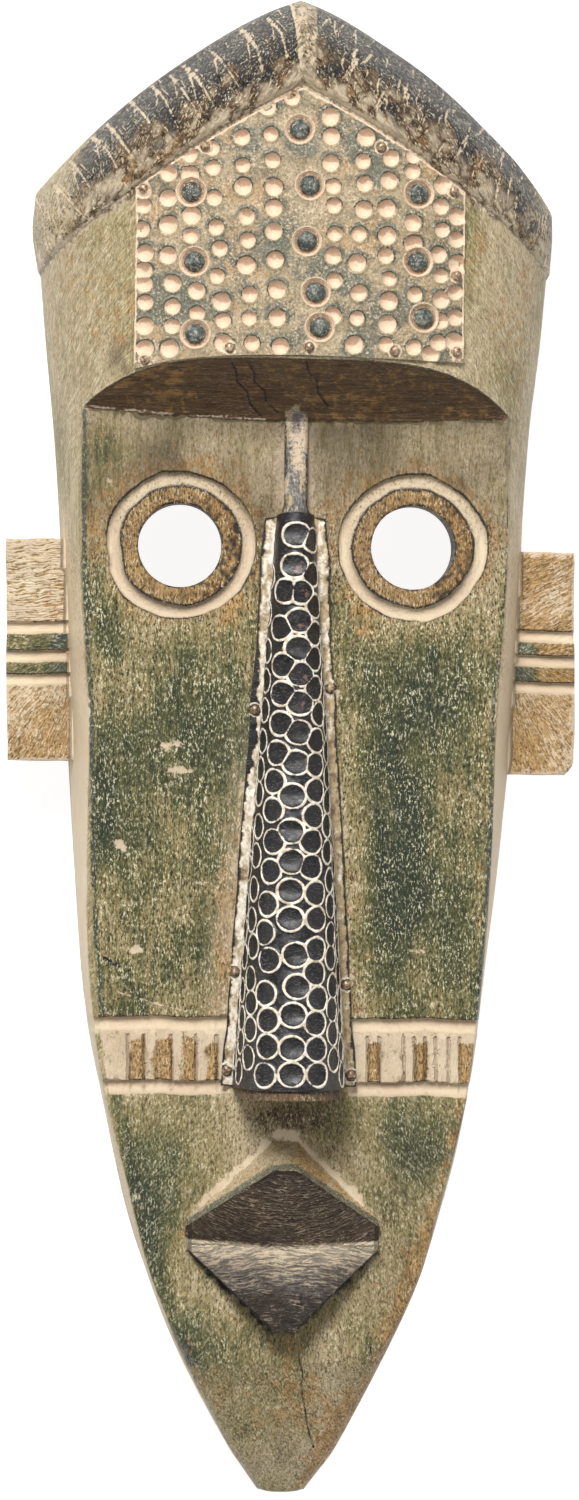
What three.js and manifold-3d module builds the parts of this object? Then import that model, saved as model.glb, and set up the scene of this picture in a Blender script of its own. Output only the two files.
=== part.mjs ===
// A long carved wooden mask with a gabled crest, a deep brow, a long wedge nose and
// flat block ears. Embossed sheet metal is tacked over its forehead and its nose.
// The mask lies on its hollow back: +Z comes out of the face, +Y is the top of the
// head, and the origin is under the middle of the mask, on the plane of its back rim.
// All sizes are in millimetres.

import * as THREE from "three";
import { mergeVertices } from "three/addons/utils/BufferGeometryUtils.js";
import Module from "manifold-3d";

const wasm = await Module();
wasm.setup();

// Driving sizes of the head
const CHIN_Y = -250;
const PEAK_Y = 250;
const CROWN = 84; // height of the rounded forehead above the back rim
const CHIN_CROWN = 25;
const CHIN_BEND_Y = -114; // below this the head falls away towards the chin
const CHIN_BEND = 1.3;
const RIM_EDGE = 3;
const PANEL_TOP_Z = 56; // the flat face, at the brow
const PANEL_SLOPE = 0.0178; // the flat face sinks this much for each mm down
const PANEL_TOP_Y = 110;
const EDGE_SHARE = 0.86; // where the side wall starts when there is no flat face
const SIDE_START = 0.62; // share of a section's columns, out from the middle, over its front

// Half widths of the back rim, from the chin up
const OUTLINE = [
  [-250, 7.2],
  [-230, 19.9],
  [-193, 38.8],
  [-155, 52.5],
  [-117, 60.6],
  [-89, 65.2],
  [-5, 74.1],
  [70, 77.9],
  [164, 85.6],
  [250, 88],
];

// Roundness of the head's section, from the chin up: a larger number is squarer
const SQUARENESS = [
  [-250, 7.5],
  [-215, 9],
  [-190, 8.5],
  [-153, 4.6],
  [-114, 4.4],
  [-88, 4.2],
  [0, 3],
  [60, 3.2],
  [112, 2.8],
];

// Brow and crest lines, as heights on the face at a distance x from the middle
const BROW_HALF = 71;
const BROW_Y = 129.2;
const BROW_DROP = 16.4;
const PANEL_ARCH = 3.1;
const BROW_TILT = 0.8; // the left end of the brow sits this much higher
const COVE_BEND = 1.25;
const CREST_INNER = { y: 218.6, slope: 0.506, bend: 0.00205 };
const CREST_OUTER = { y: PEAK_Y, slope: 0.333, bend: 0.00445 };
const CREST_DROP = { y: 5, x: 84 }; // the right end of its outer line has dropped this far
const CREST_LAP = 0.6; // how far the crest reaches down over the forehead
const CREST_PROUD = 2.6;
const CREST_TUCK = 0.2; // share of that by which its inner edge dips below the forehead
const CREST_SIDE = 1;
const CREST_LIP = 0.1; // share of the crest's width that its inner edge rounds over
const CREST_ROLL = 0.8;
const CREST_ROLL_START = 0.3;
const CREST_BURY = 8; // how far the head goes on under the crest
const RIB = { middle: 1.2, half: 4.4, narrow: 0.7, proud: 1.6, depth: 8, end: 0.03 };

// Nose
const NOSE_TOP_Y = 112;
const NOSE_BOTTOM_Y = -113.5;
const NOSE_HALF = { top: 2.8, bottom: 17.8 };
const NOSE_HEIGHT = { top: 2.5, bottom: 37 };
const NOSE_SQUARENESS = 2.3;
const NOSE_ROOT = 4; // depth of the nose's root in the face

// Eyes
const EYES = [
  [-38, 68.4],
  [39.2, 68.5],
];
const EYE_HOLE_R = 13.9;
const EYE_GROOVE_R = 22.2;
const EYE_GROOVE_HALF = 2.4;
const EYE_GROOVE_LIFT = 0.2;

// Cheek bands: two fluted grooves a side
const BAND_GROOVES = [-90.4, -111.6];
const BAND_START = 18.5;
const BAND_END = 80;
const BAND_GROOVE_R = 2.9;
const BAND_GROOVE_LIFT = 0.7;

// Mouth: a raised diamond, folded inwards along its middle line
const MOUTH_COLUMNS = [-32.8, -4.8, 2.8, 30.2];
const MOUTH_BASE_Z = 46;
const MOUTH_ROWS = [
  { y: [-164.6, -191, -191, -164.2], z: [54, 64.5, 64.5, 54] },
  { y: [-161.2, -163.6, -163.6, -161.4], z: [53.6, 53, 53, 53.6] },
  { y: [-156.6, -137.8, -137.8, -156.6], z: [54, 63, 63, 54] },
  { y: [-154.4, -127.8, -127.8, -154.4], z: [50.6, 50.6, 50.6, 50.6] },
];

// Ears: one flat block on each side
const EARS = [
  { side: -1, inner: 70, outer: 95.5, low: -3.4, high: 70.5, grooves: [41.3, 31.8, 23.9] },
  { side: 1, inner: 70, outer: 95.5, low: -6.3, high: 68, grooves: [40.2, 32, 23] },
];
const EAR_BACK_Z = 14;
const EAR_FRONT_Z = 36;
const EAR_TAPER = 1.4; // the left ear narrows and the right ear widens downwards
const EAR_GROOVE_R = 2.2;
const EAR_GROOVE_LIFT = 0.3;

// Hollow back
const WALL = 13;
const HOLLOW_LOW_Y = -208;
const HOLLOW_TOP_WALL = 20;
const HOLLOW_SQUARENESS = 3;
const HOLLOW_EDGE = 0.12; // share of the hollow's depth that its edge drops at once
const HOLLOW_CROWN = [
  [-208, 14],
  [-190, 24],
  [-150, 35],
  [-100, 39],
  [90, 41.5],
  [135, 62],
  [170, 66],
  [250, 66],
];

// Sheet metal
const SHEET = 0.8;
const SHEET_GAP = 0.4;
const PLATE_HALF = 53.4;
const PLATE_LOW_Y = 130;
const PLATE_LOW_DROP = { left: 4.6, right: 1.4 };
const PLATE_TOP_GAP = 1.2;
const BOSS = { radius: 4.6, height: 2.3, sides: 10, rings: 2 };
const BOSSES = [
  [-0.9, 203.7],
  [2.6, 185.4],
  [1.8, 167.1],
  [4.9, 150.5],
  [6.4, 139.1],
  [-35.8, 183],
  [-34.6, 160.2],
  [-34, 136.6],
  [38.1, 183.4],
  [38.1, 161.2],
  [40.2, 142.9],
];
const NOSE_SHEET_TOP_Y = 79.5;
const NOSE_SHEET_LOW_Y = -110.4;
const NOSE_FLANGE = 5;

// Tacks
const TACK = { radius: 1.6, height: 1.1, sides: 8, rings: 3 };
const TACK_GAP = 0.3;
const PLATE_TACKS = [
  [-31.5, 197.9],
  [-51, 184.2],
  [-49.8, 128.2],
  [-22.9, 132.2],
  [3, 132.6],
  [30.7, 131.9],
  [51, 132.2],
  [50.8, 157.1],
  [49.5, 184.7],
  [25.7, 198.3],
];
const NOSE_TACK_REACH = 3.3; // from the nose's edge out onto the sheet's flange
const NOSE_TACKS = [
  { side: -1, y: 14.1 },
  { side: 1, y: 21.7 },
  { side: 1, y: -76.5 },
  { side: -1, y: -72.6 },
  { side: -1, y: -105.3 },
  { side: 1, y: -106.6 },
];

const MATERIALS = {
  wood: { color: 0x7d7a55, roughness: 0.75, metalness: 0 },
  plate: { color: 0xb39c72, roughness: 0.5, metalness: 0.2 },
  noseSheet: { color: 0x2a2629, roughness: 0.35, metalness: 0.5 },
  tack: { color: 0x2c2b2c, roughness: 0.4, metalness: 0.7 },
};

// A smooth curve through a few points, as a function of their first number.
function through(points) {
  const last = points.length - 1;
  const slope = (i) => {
    const [a, b] = [points[Math.max(i - 1, 0)], points[Math.min(i + 1, last)]];
    return (b[1] - a[1]) / (b[0] - a[0]);
  };
  return (t) => {
    let i = 0;
    while (i < last - 1 && t > points[i + 1][0]) i++;
    const span = points[i + 1][0] - points[i][0];
    const s = THREE.MathUtils.clamp((t - points[i][0]) / span, 0, 1);
    const ends = points[i][1] * (1 + 2 * s) * (1 - s) ** 2 + points[i + 1][1] * s * s * (3 - 2 * s);
    return ends + span * (slope(i) * s * (1 - s) ** 2 - slope(i + 1) * s * s * (1 - s));
  };
}

const mix = THREE.MathUtils.lerp;
const rimHalf = through(OUTLINE);
const squareness = through(SQUARENESS);
const hollowCrown = through(HOLLOW_CROWN);

function crown(y) {
  const fall = THREE.MathUtils.clamp((CHIN_BEND_Y - y) / (CHIN_BEND_Y - CHIN_Y), 0, 1);
  return CROWN - (CROWN - CHIN_CROWN) * fall ** CHIN_BEND;
}

const panelZ = (y) => PANEL_TOP_Z - PANEL_SLOPE * (PANEL_TOP_Y - y);
const panelTopY = (x) =>
  PANEL_TOP_Y + PANEL_ARCH * (x / BROW_HALF) ** 2 - (BROW_TILT * x) / BROW_HALF;
const browY = (x) => BROW_Y - BROW_DROP * (x / BROW_HALF) ** 4 - (BROW_TILT * x) / BROW_HALF;
const gableY = (line, x) => line.y - line.slope * Math.abs(x) - line.bend * x * x;
const crestTopY = (x) =>
  gableY(CREST_OUTER, x) - CREST_DROP.y * (Math.max(x, 0) / CREST_DROP.x) ** 3;
const arch = (share, power) => Math.max(0, 1 - share ** power) ** (1 / power);

// The rounded head alone, its half width at a height and its height at a half width.
const hullX = (z, y, growth) =>
  (rimHalf(y) + CREST_SIDE * growth) * arch(z / (crown(y) + CREST_PROUD * growth), squareness(y));
const hullZ = (x, y, growth) =>
  (crown(y) + CREST_PROUD * growth) *
  arch(Math.min(1, Math.abs(x) / (rimHalf(y) + CREST_SIDE * growth)), squareness(y));

// A point of the head's section: u runs from -1 at the left rim to 1 at the right rim.
function sectionPoint(u, y, growth) {
  const edgeZ = Math.min(panelZ(Math.min(y, PANEL_TOP_Y)), EDGE_SHARE * crown(y));
  const edge = hullX(edgeZ, y, growth);
  const across = Math.abs(u);
  if (across <= SIDE_START) {
    const x = (u / SIDE_START) * edge;
    return { x, z: hullZ(x, y, growth) };
  }
  const z = mix(edgeZ, RIM_EDGE, (across - SIDE_START) / (1 - SIDE_START));
  return { x: Math.sign(u) * hullX(z, y, growth), z };
}

// A point of that section on a row that bends with x: row(x) gives its y.
function onRow(u, row, growth) {
  let point = { x: 0, z: 0 };
  let y = row(0);
  for (let pass = 0; pass < 6; pass++) {
    point = sectionPoint(u, y, growth);
    y = row(point.x);
  }
  return { ...point, y };
}

// A closed box of columns and rows, 2 wide, 1 high and 1 deep, whose points a function places.
function shapedBox(columns, rows, place) {
  const geometry = new THREE.BoxGeometry(2, 1, 1, columns, rows, 1).translate(0, 0.5, 0.5);
  const position = geometry.getAttribute("position");
  for (let i = 0; i < position.count; i++) {
    const row = Math.round(position.getY(i) * rows);
    const { x, y, z } = place(position.getX(i), row, position.getZ(i) > 0.5);
    position.setXYZ(i, x, y, z);
  }
  return solidOf(geometry);
}

function solidOf(geometry) {
  geometry.deleteAttribute("normal");
  geometry.deleteAttribute("uv");
  const merged = mergeVertices(geometry, 1e-4);
  return new wasm.Manifold(
    new wasm.Mesh({
      numProp: 3,
      vertProperties: new Float32Array(merged.getAttribute("position").array),
      triVerts: new Uint32Array(merged.index.array),
    }),
  );
}

function meshOf(name, solid, material) {
  const { vertProperties, triVerts } = solid.getMesh();
  const geometry = new THREE.BufferGeometry();
  geometry.setAttribute("position", new THREE.BufferAttribute(vertProperties, 3));
  geometry.setIndex(new THREE.BufferAttribute(triVerts, 1));
  geometry.computeVertexNormals();
  const mesh = new THREE.Mesh(geometry, new THREE.MeshStandardMaterial(material));
  mesh.name = name;
  return mesh;
}

// A closed half ball on a flat base, which stands at a point along a normal.
function dome({ radius, height, sides, rings }, point, normal) {
  const cap = new THREE.SphereGeometry(radius, sides, rings, 0, 2 * Math.PI, 0, Math.PI / 2);
  cap.scale(1, height / radius, 1);
  // the base uses the same angles as the cap's lowest ring
  const base = new THREE.CircleGeometry(radius, sides, Math.PI).rotateX(Math.PI / 2);
  const parts = [cap, base].map((part) => {
    part.deleteAttribute("normal");
    part.deleteAttribute("uv");
    return part.toNonIndexed().getAttribute("position").array;
  });
  const closed = new THREE.BufferGeometry();
  const points = new Float32Array([...parts[0], ...parts[1]]);
  closed.setAttribute("position", new THREE.BufferAttribute(points, 3));
  const up = new THREE.Vector3(0, 1, 0);
  closed.applyQuaternion(new THREE.Quaternion().setFromUnitVectors(up, normal));
  closed.translate(point.x, point.y, point.z);
  return solidOf(closed);
}

// A place on the forehead, lifted off it by some distance, and the way that faces out there.
function onForehead(x, y, lift) {
  const reach = 0.5;
  const slope = (hullZ(x + reach, y, 0) - hullZ(x - reach, y, 0)) / (2 * reach);
  const normal = new THREE.Vector3(-slope, 0, 1).normalize();
  const point = new THREE.Vector3(x, y, hullZ(x, y, 0)).addScaledVector(normal, lift);
  return { normal, point };
}

// The head with its flat face, brow and forehead.
function head() {
  const chinRows = 14;
  const faceRows = 6;
  const coveRows = 3;
  const foreheadRows = 10;
  const rows = [];
  for (let i = 0; i < chinRows; i++) {
    rows.push({ line: () => mix(CHIN_Y, CHIN_BEND_Y, i / chinRows), cove: 0 });
  }
  for (let i = 0; i <= faceRows; i++) {
    rows.push({ line: (x) => mix(CHIN_BEND_Y, panelTopY(x), i / faceRows), cove: 0 });
  }
  for (let i = 1; i <= coveRows; i++) {
    const share = i / coveRows;
    rows.push({ line: (x) => mix(panelTopY(x), browY(x), share), cove: share ** COVE_BEND });
  }
  const top = (x) => gableY(CREST_INNER, x) + CREST_BURY;
  for (let i = 1; i <= foreheadRows; i++) {
    rows.push({ line: (x) => mix(browY(x), top(x), i / foreheadRows), cove: 1 });
  }
  return shapedBox(26, rows.length - 1, (u, row, front) => {
    const { line, cove } = rows[row];
    const point = onRow(u, line, 0);
    const face = Math.min(point.z, panelZ(Math.min(point.y, PANEL_TOP_Y)));
    return { x: point.x, y: point.y, z: front ? mix(face, point.z, cove) : 0 };
  });
}

// The gabled crest, a rolled band over the top of the head, with a rib at its peak.
function crest() {
  const shares = [0, CREST_LIP, 0.3, 0.5, 0.7, 0.86, 1];
  const band = (x, share) => mix(gableY(CREST_INNER, x) - CREST_LAP, crestTopY(x), share);
  const roll = (share) => {
    const turn = Math.max(0, share - CREST_ROLL_START) / (1 - CREST_ROLL_START);
    return Math.sqrt(1 - (CREST_ROLL * turn) ** 2);
  };
  const body = shapedBox(28, shares.length - 1, (u, row, front) => {
    const share = shares[row];
    const point = onRow(u, (x) => band(x, share), row === 0 ? -CREST_TUCK : 1);
    const z = Math.max(RIM_EDGE, point.z * roll(share));
    return { x: point.x, y: point.y, z: front ? z : 0 };
  });
  const rib = shapedBox(2, shares.length - 1, (u, row, front) => {
    const share = shares[row];
    const x = u * RIB.half * mix(RIB.narrow, 1, share);
    const y = mix(band(x, RIB.end), band(x, 1 - RIB.end), share);
    const z = hullZ(x, y, 1) * roll(share) + (1 - Math.abs(u)) * RIB.proud;
    return { x: RIB.middle + x, y, z: front ? z : z - RIB.depth };
  });
  return body.add(rib);
}

const noseShare = (y) => (NOSE_TOP_Y - y) / (NOSE_TOP_Y - NOSE_BOTTOM_Y);
const noseHalf = (y) => mix(NOSE_HALF.top, NOSE_HALF.bottom, noseShare(y));
const noseHeight = (y) => mix(NOSE_HEIGHT.top, NOSE_HEIGHT.bottom, noseShare(y));

// A point of the nose's section, from angle 0 at its right foot to pi at its left foot.
function nosePoint(angle, y) {
  const power = 2 / NOSE_SQUARENESS;
  const x = noseHalf(y) * Math.sign(Math.cos(angle)) * Math.abs(Math.cos(angle)) ** power;
  const z = noseHeight(y) * Math.abs(Math.sin(angle)) ** power;
  return new THREE.Vector2(x, panelZ(y) + z);
}

function nose() {
  const rows = 8;
  return shapedBox(14, rows, (u, row, front) => {
    const y = mix(NOSE_BOTTOM_Y, NOSE_TOP_Y, row / rows);
    const point = nosePoint(((1 - u) * Math.PI) / 2, y);
    return { x: point.x, y, z: front ? point.y : panelZ(y) - NOSE_ROOT };
  });
}

function mouth() {
  const columns = MOUTH_COLUMNS.length - 1;
  return shapedBox(columns, MOUTH_ROWS.length - 1, (u, row, front) => {
    const column = Math.round(((u + 1) / 2) * columns);
    const { y, z } = MOUTH_ROWS[row];
    return { x: MOUTH_COLUMNS[column], y: y[column], z: front ? z[column] : MOUTH_BASE_Z };
  });
}

function ear({ side, inner, outer, low, high, grooves }) {
  const block = shapedBox(1, 1, (u, row, front) => {
    const far = outer - (side < 0 ? EAR_TAPER * (1 - row) : EAR_TAPER * row * 0.5);
    const reach = u * side > 0 ? far : inner;
    return { x: side * reach, y: row ? high : low, z: front ? EAR_FRONT_Z : EAR_BACK_Z };
  });
  return grooves.reduce((solid, y) => {
    const tool = new THREE.CylinderGeometry(EAR_GROOVE_R, EAR_GROOVE_R, 2 * outer, 12)
      .rotateZ(Math.PI / 2)
      .translate(side * outer, y, EAR_FRONT_Z + EAR_GROOVE_LIFT);
    return solid.subtract(solidOf(tool));
  }, block);
}

function eyeCut([x, y]) {
  const hole = new THREE.CylinderGeometry(EYE_HOLE_R, EYE_HOLE_R, 2 * CROWN, 36)
    .rotateX(Math.PI / 2)
    .translate(x, y, CROWN / 2);
  const groove = new THREE.TorusGeometry(EYE_GROOVE_R, EYE_GROOVE_HALF, 6, 36)
    .rotateX(PANEL_SLOPE)
    .translate(x, y, panelZ(y) + EYE_GROOVE_LIFT);
  return solidOf(hole).add(solidOf(groove));
}

function bandCut(side, y) {
  const length = BAND_END - BAND_START;
  const tool = new THREE.CylinderGeometry(BAND_GROOVE_R, BAND_GROOVE_R, length, 12)
    .rotateZ(Math.PI / 2)
    .translate(side * (BAND_START + length / 2), y, panelZ(y) + BAND_GROOVE_LIFT);
  return solidOf(tool);
}

// The hollow behind the face, open at the back.
function hollow() {
  const rows = 18;
  const top = (x) => crestTopY(x) - HOLLOW_TOP_WALL;
  return shapedBox(18, rows, (u, row, front) => {
    const share = row / rows;
    const bend = 2 / HOLLOW_SQUARENESS;
    const across = Math.sign(u) * Math.sin((Math.abs(u) * Math.PI) / 2) ** bend;
    let [x, y] = [0, 0];
    for (let pass = 0; pass < 6; pass++) {
      y = mix(HOLLOW_LOW_Y, top(x), share);
      x = across * Math.max(1, rimHalf(y) - WALL);
    }
    const curve = Math.cos((Math.abs(u) * Math.PI) / 2) ** bend;
    const z = hollowCrown(y) * Math.max(HOLLOW_EDGE, curve);
    return { x, y, z: front ? z : -RIM_EDGE };
  });
}

function maskBody() {
  let solid = head().add(crest()).add(nose()).add(mouth());
  for (const place of EARS) solid = solid.add(ear(place));
  for (const place of EYES) solid = solid.subtract(eyeCut(place));
  for (const y of BAND_GROOVES) {
    solid = solid.subtract(bandCut(-1, y)).subtract(bandCut(1, y));
  }
  return solid.subtract(hollow());
}

const plateLowY = (x) => {
  const share = Math.abs(x) / PLATE_HALF;
  const drop = x < 0 ? PLATE_LOW_DROP.left * share ** 3 : PLATE_LOW_DROP.right * share;
  return PLATE_LOW_Y - drop;
};

// The embossed sheet on the forehead, with its rows of large bosses.
function foreheadPlate() {
  const columns = 20;
  const rows = 10;
  const sheet = shapedBox(columns, rows, (u, row, front) => {
    const x = u * PLATE_HALF;
    const y = mix(plateLowY(x), gableY(CREST_INNER, x) - PLATE_TOP_GAP, row / rows);
    return onForehead(x, y, SHEET_GAP + (front ? SHEET : 0)).point;
  });
  const sink = SHEET / 2;
  return BOSSES.reduce((solid, [x, y]) => {
    const { normal, point } = onForehead(x, y, SHEET_GAP + SHEET - sink);
    const boss = { ...BOSS, height: BOSS.height + sink };
    return solid.add(dome(boss, point, normal));
  }, sheet);
}

// The embossed sheet folded over the nose, with a flange on each side.
function nosePlate() {
  const rows = 9;
  const columns = 18;
  const path = (u, y) => {
    const feet = Math.round(Math.abs(u) * (columns / 2)) - (columns / 2 - 1);
    if (feet > 0) {
      return new THREE.Vector2(Math.sign(u) * (noseHalf(y) + NOSE_FLANGE * feet), panelZ(y));
    }
    return nosePoint(((1 - u / (1 - 2 / columns)) * Math.PI) / 2, y);
  };
  const step = 2 / columns;
  return shapedBox(columns, rows, (u, row, front) => {
    const y = mix(NOSE_SHEET_LOW_Y, NOSE_SHEET_TOP_Y, row / rows);
    const here = path(u, y);
    const before = u - step < -1.001 ? here : path(u - step, y);
    const after = u + step > 1.001 ? here : path(u + step, y);
    const turn = (a, b) => new THREE.Vector2(a.y - b.y, b.x - a.x).normalize();
    const first = before === here ? turn(here, after) : turn(before, here);
    const second = after === here ? first : turn(here, after);
    const normal = first.clone().add(second).normalize();
    const reach = (SHEET_GAP + (front ? SHEET : 0)) / Math.max(0.5, normal.dot(first));
    return { x: here.x + normal.x * reach, y, z: here.y + normal.y * reach };
  });
}

function plateTack([x, y]) {
  const { normal, point } = onForehead(x, y, SHEET_GAP + SHEET + TACK_GAP);
  return dome(TACK, point, normal);
}

function noseTack({ side, y }) {
  const x = side * (noseHalf(y) + NOSE_TACK_REACH);
  const z = panelZ(y) + SHEET_GAP + SHEET + TACK_GAP;
  return dome(TACK, new THREE.Vector3(x, y, z), new THREE.Vector3(0, 0, 1));
}

const mask = new THREE.Group();
mask.add(meshOf("mask_body", maskBody(), MATERIALS.wood));
mask.add(meshOf("forehead_plate", foreheadPlate(), MATERIALS.plate));
mask.add(meshOf("nose_plate", nosePlate(), MATERIALS.noseSheet));
PLATE_TACKS.forEach((place, i) => {
  mask.add(meshOf(`forehead_tack_${i + 1}`, plateTack(place), MATERIALS.tack));
});
NOSE_TACKS.forEach((place, i) => {
  mask.add(meshOf(`nose_tack_${i + 1}`, noseTack(place), MATERIALS.tack));
});

export default mask;
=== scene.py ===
"""A long carved wooden mask with embossed sheet metal tacked over its forehead and nose.

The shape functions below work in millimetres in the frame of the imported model: +Y to the
top of the head, +Z out of the face, the back rim on z = 0. Meshes are made in metres.
"""

import math
import random

import bpy
import numpy as np
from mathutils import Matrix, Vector
from mathutils.geometry import delaunay_2d_cdt


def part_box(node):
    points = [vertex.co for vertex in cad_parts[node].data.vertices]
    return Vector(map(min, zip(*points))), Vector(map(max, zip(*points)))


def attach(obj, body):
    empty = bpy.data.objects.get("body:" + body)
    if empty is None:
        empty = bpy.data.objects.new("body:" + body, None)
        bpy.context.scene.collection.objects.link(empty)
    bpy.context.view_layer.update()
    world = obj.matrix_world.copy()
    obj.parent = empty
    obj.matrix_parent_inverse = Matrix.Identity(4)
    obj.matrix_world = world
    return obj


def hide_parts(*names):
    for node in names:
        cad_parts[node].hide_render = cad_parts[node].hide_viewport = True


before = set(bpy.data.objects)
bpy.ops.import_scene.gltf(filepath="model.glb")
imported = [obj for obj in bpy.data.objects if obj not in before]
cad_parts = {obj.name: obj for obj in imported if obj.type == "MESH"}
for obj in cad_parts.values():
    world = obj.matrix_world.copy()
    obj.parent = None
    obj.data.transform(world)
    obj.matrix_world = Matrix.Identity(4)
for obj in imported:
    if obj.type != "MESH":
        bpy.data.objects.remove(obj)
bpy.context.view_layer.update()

MM = 0.001
low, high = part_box("mask_body")
CHIN_Y = low.y / MM
PEAK_Y = high.y / MM
random.seed(7)


# Smooth curves and noise

def bounded(value):
    """The value kept between 0 and 1."""
    return np.clip(value, 0, 1)


def through(points):
    """A smooth curve through a few (place, value) points, as a function of the place."""
    at = np.array([p[0] for p in points], float)
    value = np.array([p[1] for p in points], float)
    before = np.maximum(np.arange(len(at)) - 1, 0)
    after = np.minimum(np.arange(len(at)) + 1, len(at) - 1)
    slope = (value[after] - value[before]) / (at[after] - at[before])

    def curve(t):
        i = np.clip(np.searchsorted(at, t) - 1, 0, len(at) - 2)
        span = at[i + 1] - at[i]
        s = bounded((t - at[i]) / span)
        ends = value[i] * (1 + 2 * s) * (1 - s) ** 2 + value[i + 1] * s * s * (3 - 2 * s)
        return ends + span * (slope[i] * s * (1 - s) ** 2 - slope[i + 1] * s * s * (1 - s))

    return curve


def step(value, start, end):
    """Goes smoothly from 0 at start to 1 at end."""
    s = bounded((value - start) / (end - start))
    return s * s * (3 - 2 * s)


def fade(value, start, end):
    """Goes smoothly from 1 at start to 0 at end."""
    return 1 - step(value, start, end)


def mix(a, b, share):
    return a + (b - a) * share


def lattice(i, j, seed):
    """A repeatable number from 0 to 1 for a pair of whole numbers."""
    n = (i * 374761393 + j * 668265263 + seed * 974634777) & 0x7FFFFFFF
    n = ((n ^ (n >> 13)) * 1274126177) & 0x7FFFFFFF
    return ((n ^ (n >> 16)) & 0xFFFF) / 0xFFFF


def lumps(x, y, size, seed, stretch=1.0):
    """Smooth noise from 0 to 1 with lumps of a size, stretched along y."""
    u, v = x / size, y / (size * stretch)
    i, j = np.floor(u).astype(np.int64), np.floor(v).astype(np.int64)
    fu, fv = step(u - i, 0, 1), step(v - j, 0, 1)
    bottom = mix(lattice(i, j, seed), lattice(i + 1, j, seed), fu)
    top = mix(lattice(i, j + 1, seed), lattice(i + 1, j + 1, seed), fu)
    return mix(bottom, top, fv)


def swell(x, y, size, seed, stretch=1.0):
    """The same noise around zero, from -0.5 to 0.5."""
    return lumps(x, y, size, seed, stretch) - 0.5


def blot(x, y, place, radii, soft=0.5):
    """1 inside an ellipse, falling to 0 at its edge over the soft share of its radius."""
    d = np.hypot((x - place[0]) / radii[0], (y - place[1]) / radii[1])
    return fade(d, 1 - soft, 1)


def line_of(distance, half):
    """1 on a line, falling to 0 around its half width."""
    return np.exp(-((distance / half) ** 2))


def line_distance(x, y, points):
    """Distance to a line of points, and the share of the way along it."""
    best = np.full(np.shape(x), 1e9)
    along = np.zeros(np.shape(x))
    for k, ((ax, ay), (bx, by)) in enumerate(zip(points, points[1:])):
        dx, dy = bx - ax, by - ay
        t = bounded(((x - ax) * dx + (y - ay) * dy) / (dx * dx + dy * dy))
        d = np.hypot(x - ax - t * dx, y - ay - t * dy)
        closer = d < best
        best = np.where(closer, d, best)
        along = np.where(closer, (k + t) / (len(points) - 1), along)
    return best, along


def bilinear(table, i, j, fi, fj):
    """The value between four neighbours in a table of rows."""
    low_row = mix(table[j, i], table[j, i + 1], fi)
    return mix(low_row, mix(table[j + 1, i], table[j + 1, i + 1], fi), fj)


# The head's form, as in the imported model

CROWN, CHIN_CROWN = 84, 25
CHIN_BEND_Y, CHIN_BEND = -114, 1.3
PANEL_TOP_Z, PANEL_SLOPE, PANEL_TOP_Y = 56, 0.0178, 110
BROW_HALF, BROW_Y, BROW_DROP, PANEL_ARCH, BROW_TILT = 71, 129.2, 16.4, 3.1, 0.8
COVE_BEND, COVE_LEAST, FACE_SOFT = 1.25, 0.4, 0.7
CREST_INNER = (218.6, 0.506, 0.00205)
CREST_OUTER = (PEAK_Y, 0.333, 0.00445)
CREST_PROUD, CREST_SIDE, CREST_LIP = 2.6, 1.0, (-0.015, 0.07)
CREST_ROLL, CREST_ROLL_START = 0.8, 0.3
CREST_DROP, CREST_DROP_X = 5.0, 84.0
# Where the crest's outer line swells or sinks: (x, reach, by how much)
CREST_SWELLS = ((74, 10, 1.3), (26, 14, -0.8))

rim_half = through([
    (-250, 7.2), (-230, 19.9), (-193, 38.8), (-155, 52.5), (-117, 60.6),
    (-89, 65.2), (-5, 74.1), (70, 77.9), (164, 85.6), (250, 88),
])
squareness = through([
    (-250, 7.5), (-215, 9), (-190, 8.5), (-153, 4.6), (-114, 4.4), (-88, 4.2), (0, 3),
    (60, 3.2), (112, 2.8),
])


def crown(y):
    """Height of the head's middle line over the back rim."""
    fall = bounded((CHIN_BEND_Y - y) / (CHIN_BEND_Y - CHIN_Y))
    return CROWN - (CROWN - CHIN_CROWN) * fall ** CHIN_BEND


def panel_z(y):
    return PANEL_TOP_Z - PANEL_SLOPE * (PANEL_TOP_Y - np.minimum(y, PANEL_TOP_Y))


def panel_top(x):
    return PANEL_TOP_Y + PANEL_ARCH * (x / BROW_HALF) ** 2 - BROW_TILT * x / BROW_HALF


def brow_line(x):
    return BROW_Y - BROW_DROP * (x / BROW_HALF) ** 4 - BROW_TILT * x / BROW_HALF


def gable(line, x):
    """A line that falls from its top to both sides: (top, slope, bend)."""
    top, slope, bend = line
    return top - slope * np.abs(x) - bend * x * x


def crest_top(x):
    """The crest's outer line; its right end has dropped a little."""
    drop = CREST_DROP * (np.maximum(x, 0) / CREST_DROP_X) ** 3
    top = gable(CREST_OUTER, x) - drop
    for place, reach, lift in CREST_SWELLS:
        top = top + lift * line_of(x - place, reach)
    return top


def arch(share, power):
    """The height of a round arch, squarer with a higher power, at a share of its half width."""
    return np.maximum(0, 1 - bounded(share) ** power) ** (1 / power)


def hull_z(x, y):
    """The plain head's front, seen from the front."""
    return crown(y) * arch(np.abs(x) / rim_half(y), squareness(y))


# The section of the head is walked along its surface: q runs from 0 in the middle to 1 at the rim.
ROW_STEP, SECTION_PARTS, ARC_POINTS = 2.0, 128, 500
SECTION_Y = np.arange(CHIN_Y - ROW_STEP, PEAK_Y + 2 * ROW_STEP, ROW_STEP)
SECTION_Q = np.linspace(0, 1, SECTION_PARTS + 1)
CROSS_REACH, CROSS_STEP, CROSS_ROUNDS = 170.0, 0.5, 40


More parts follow.
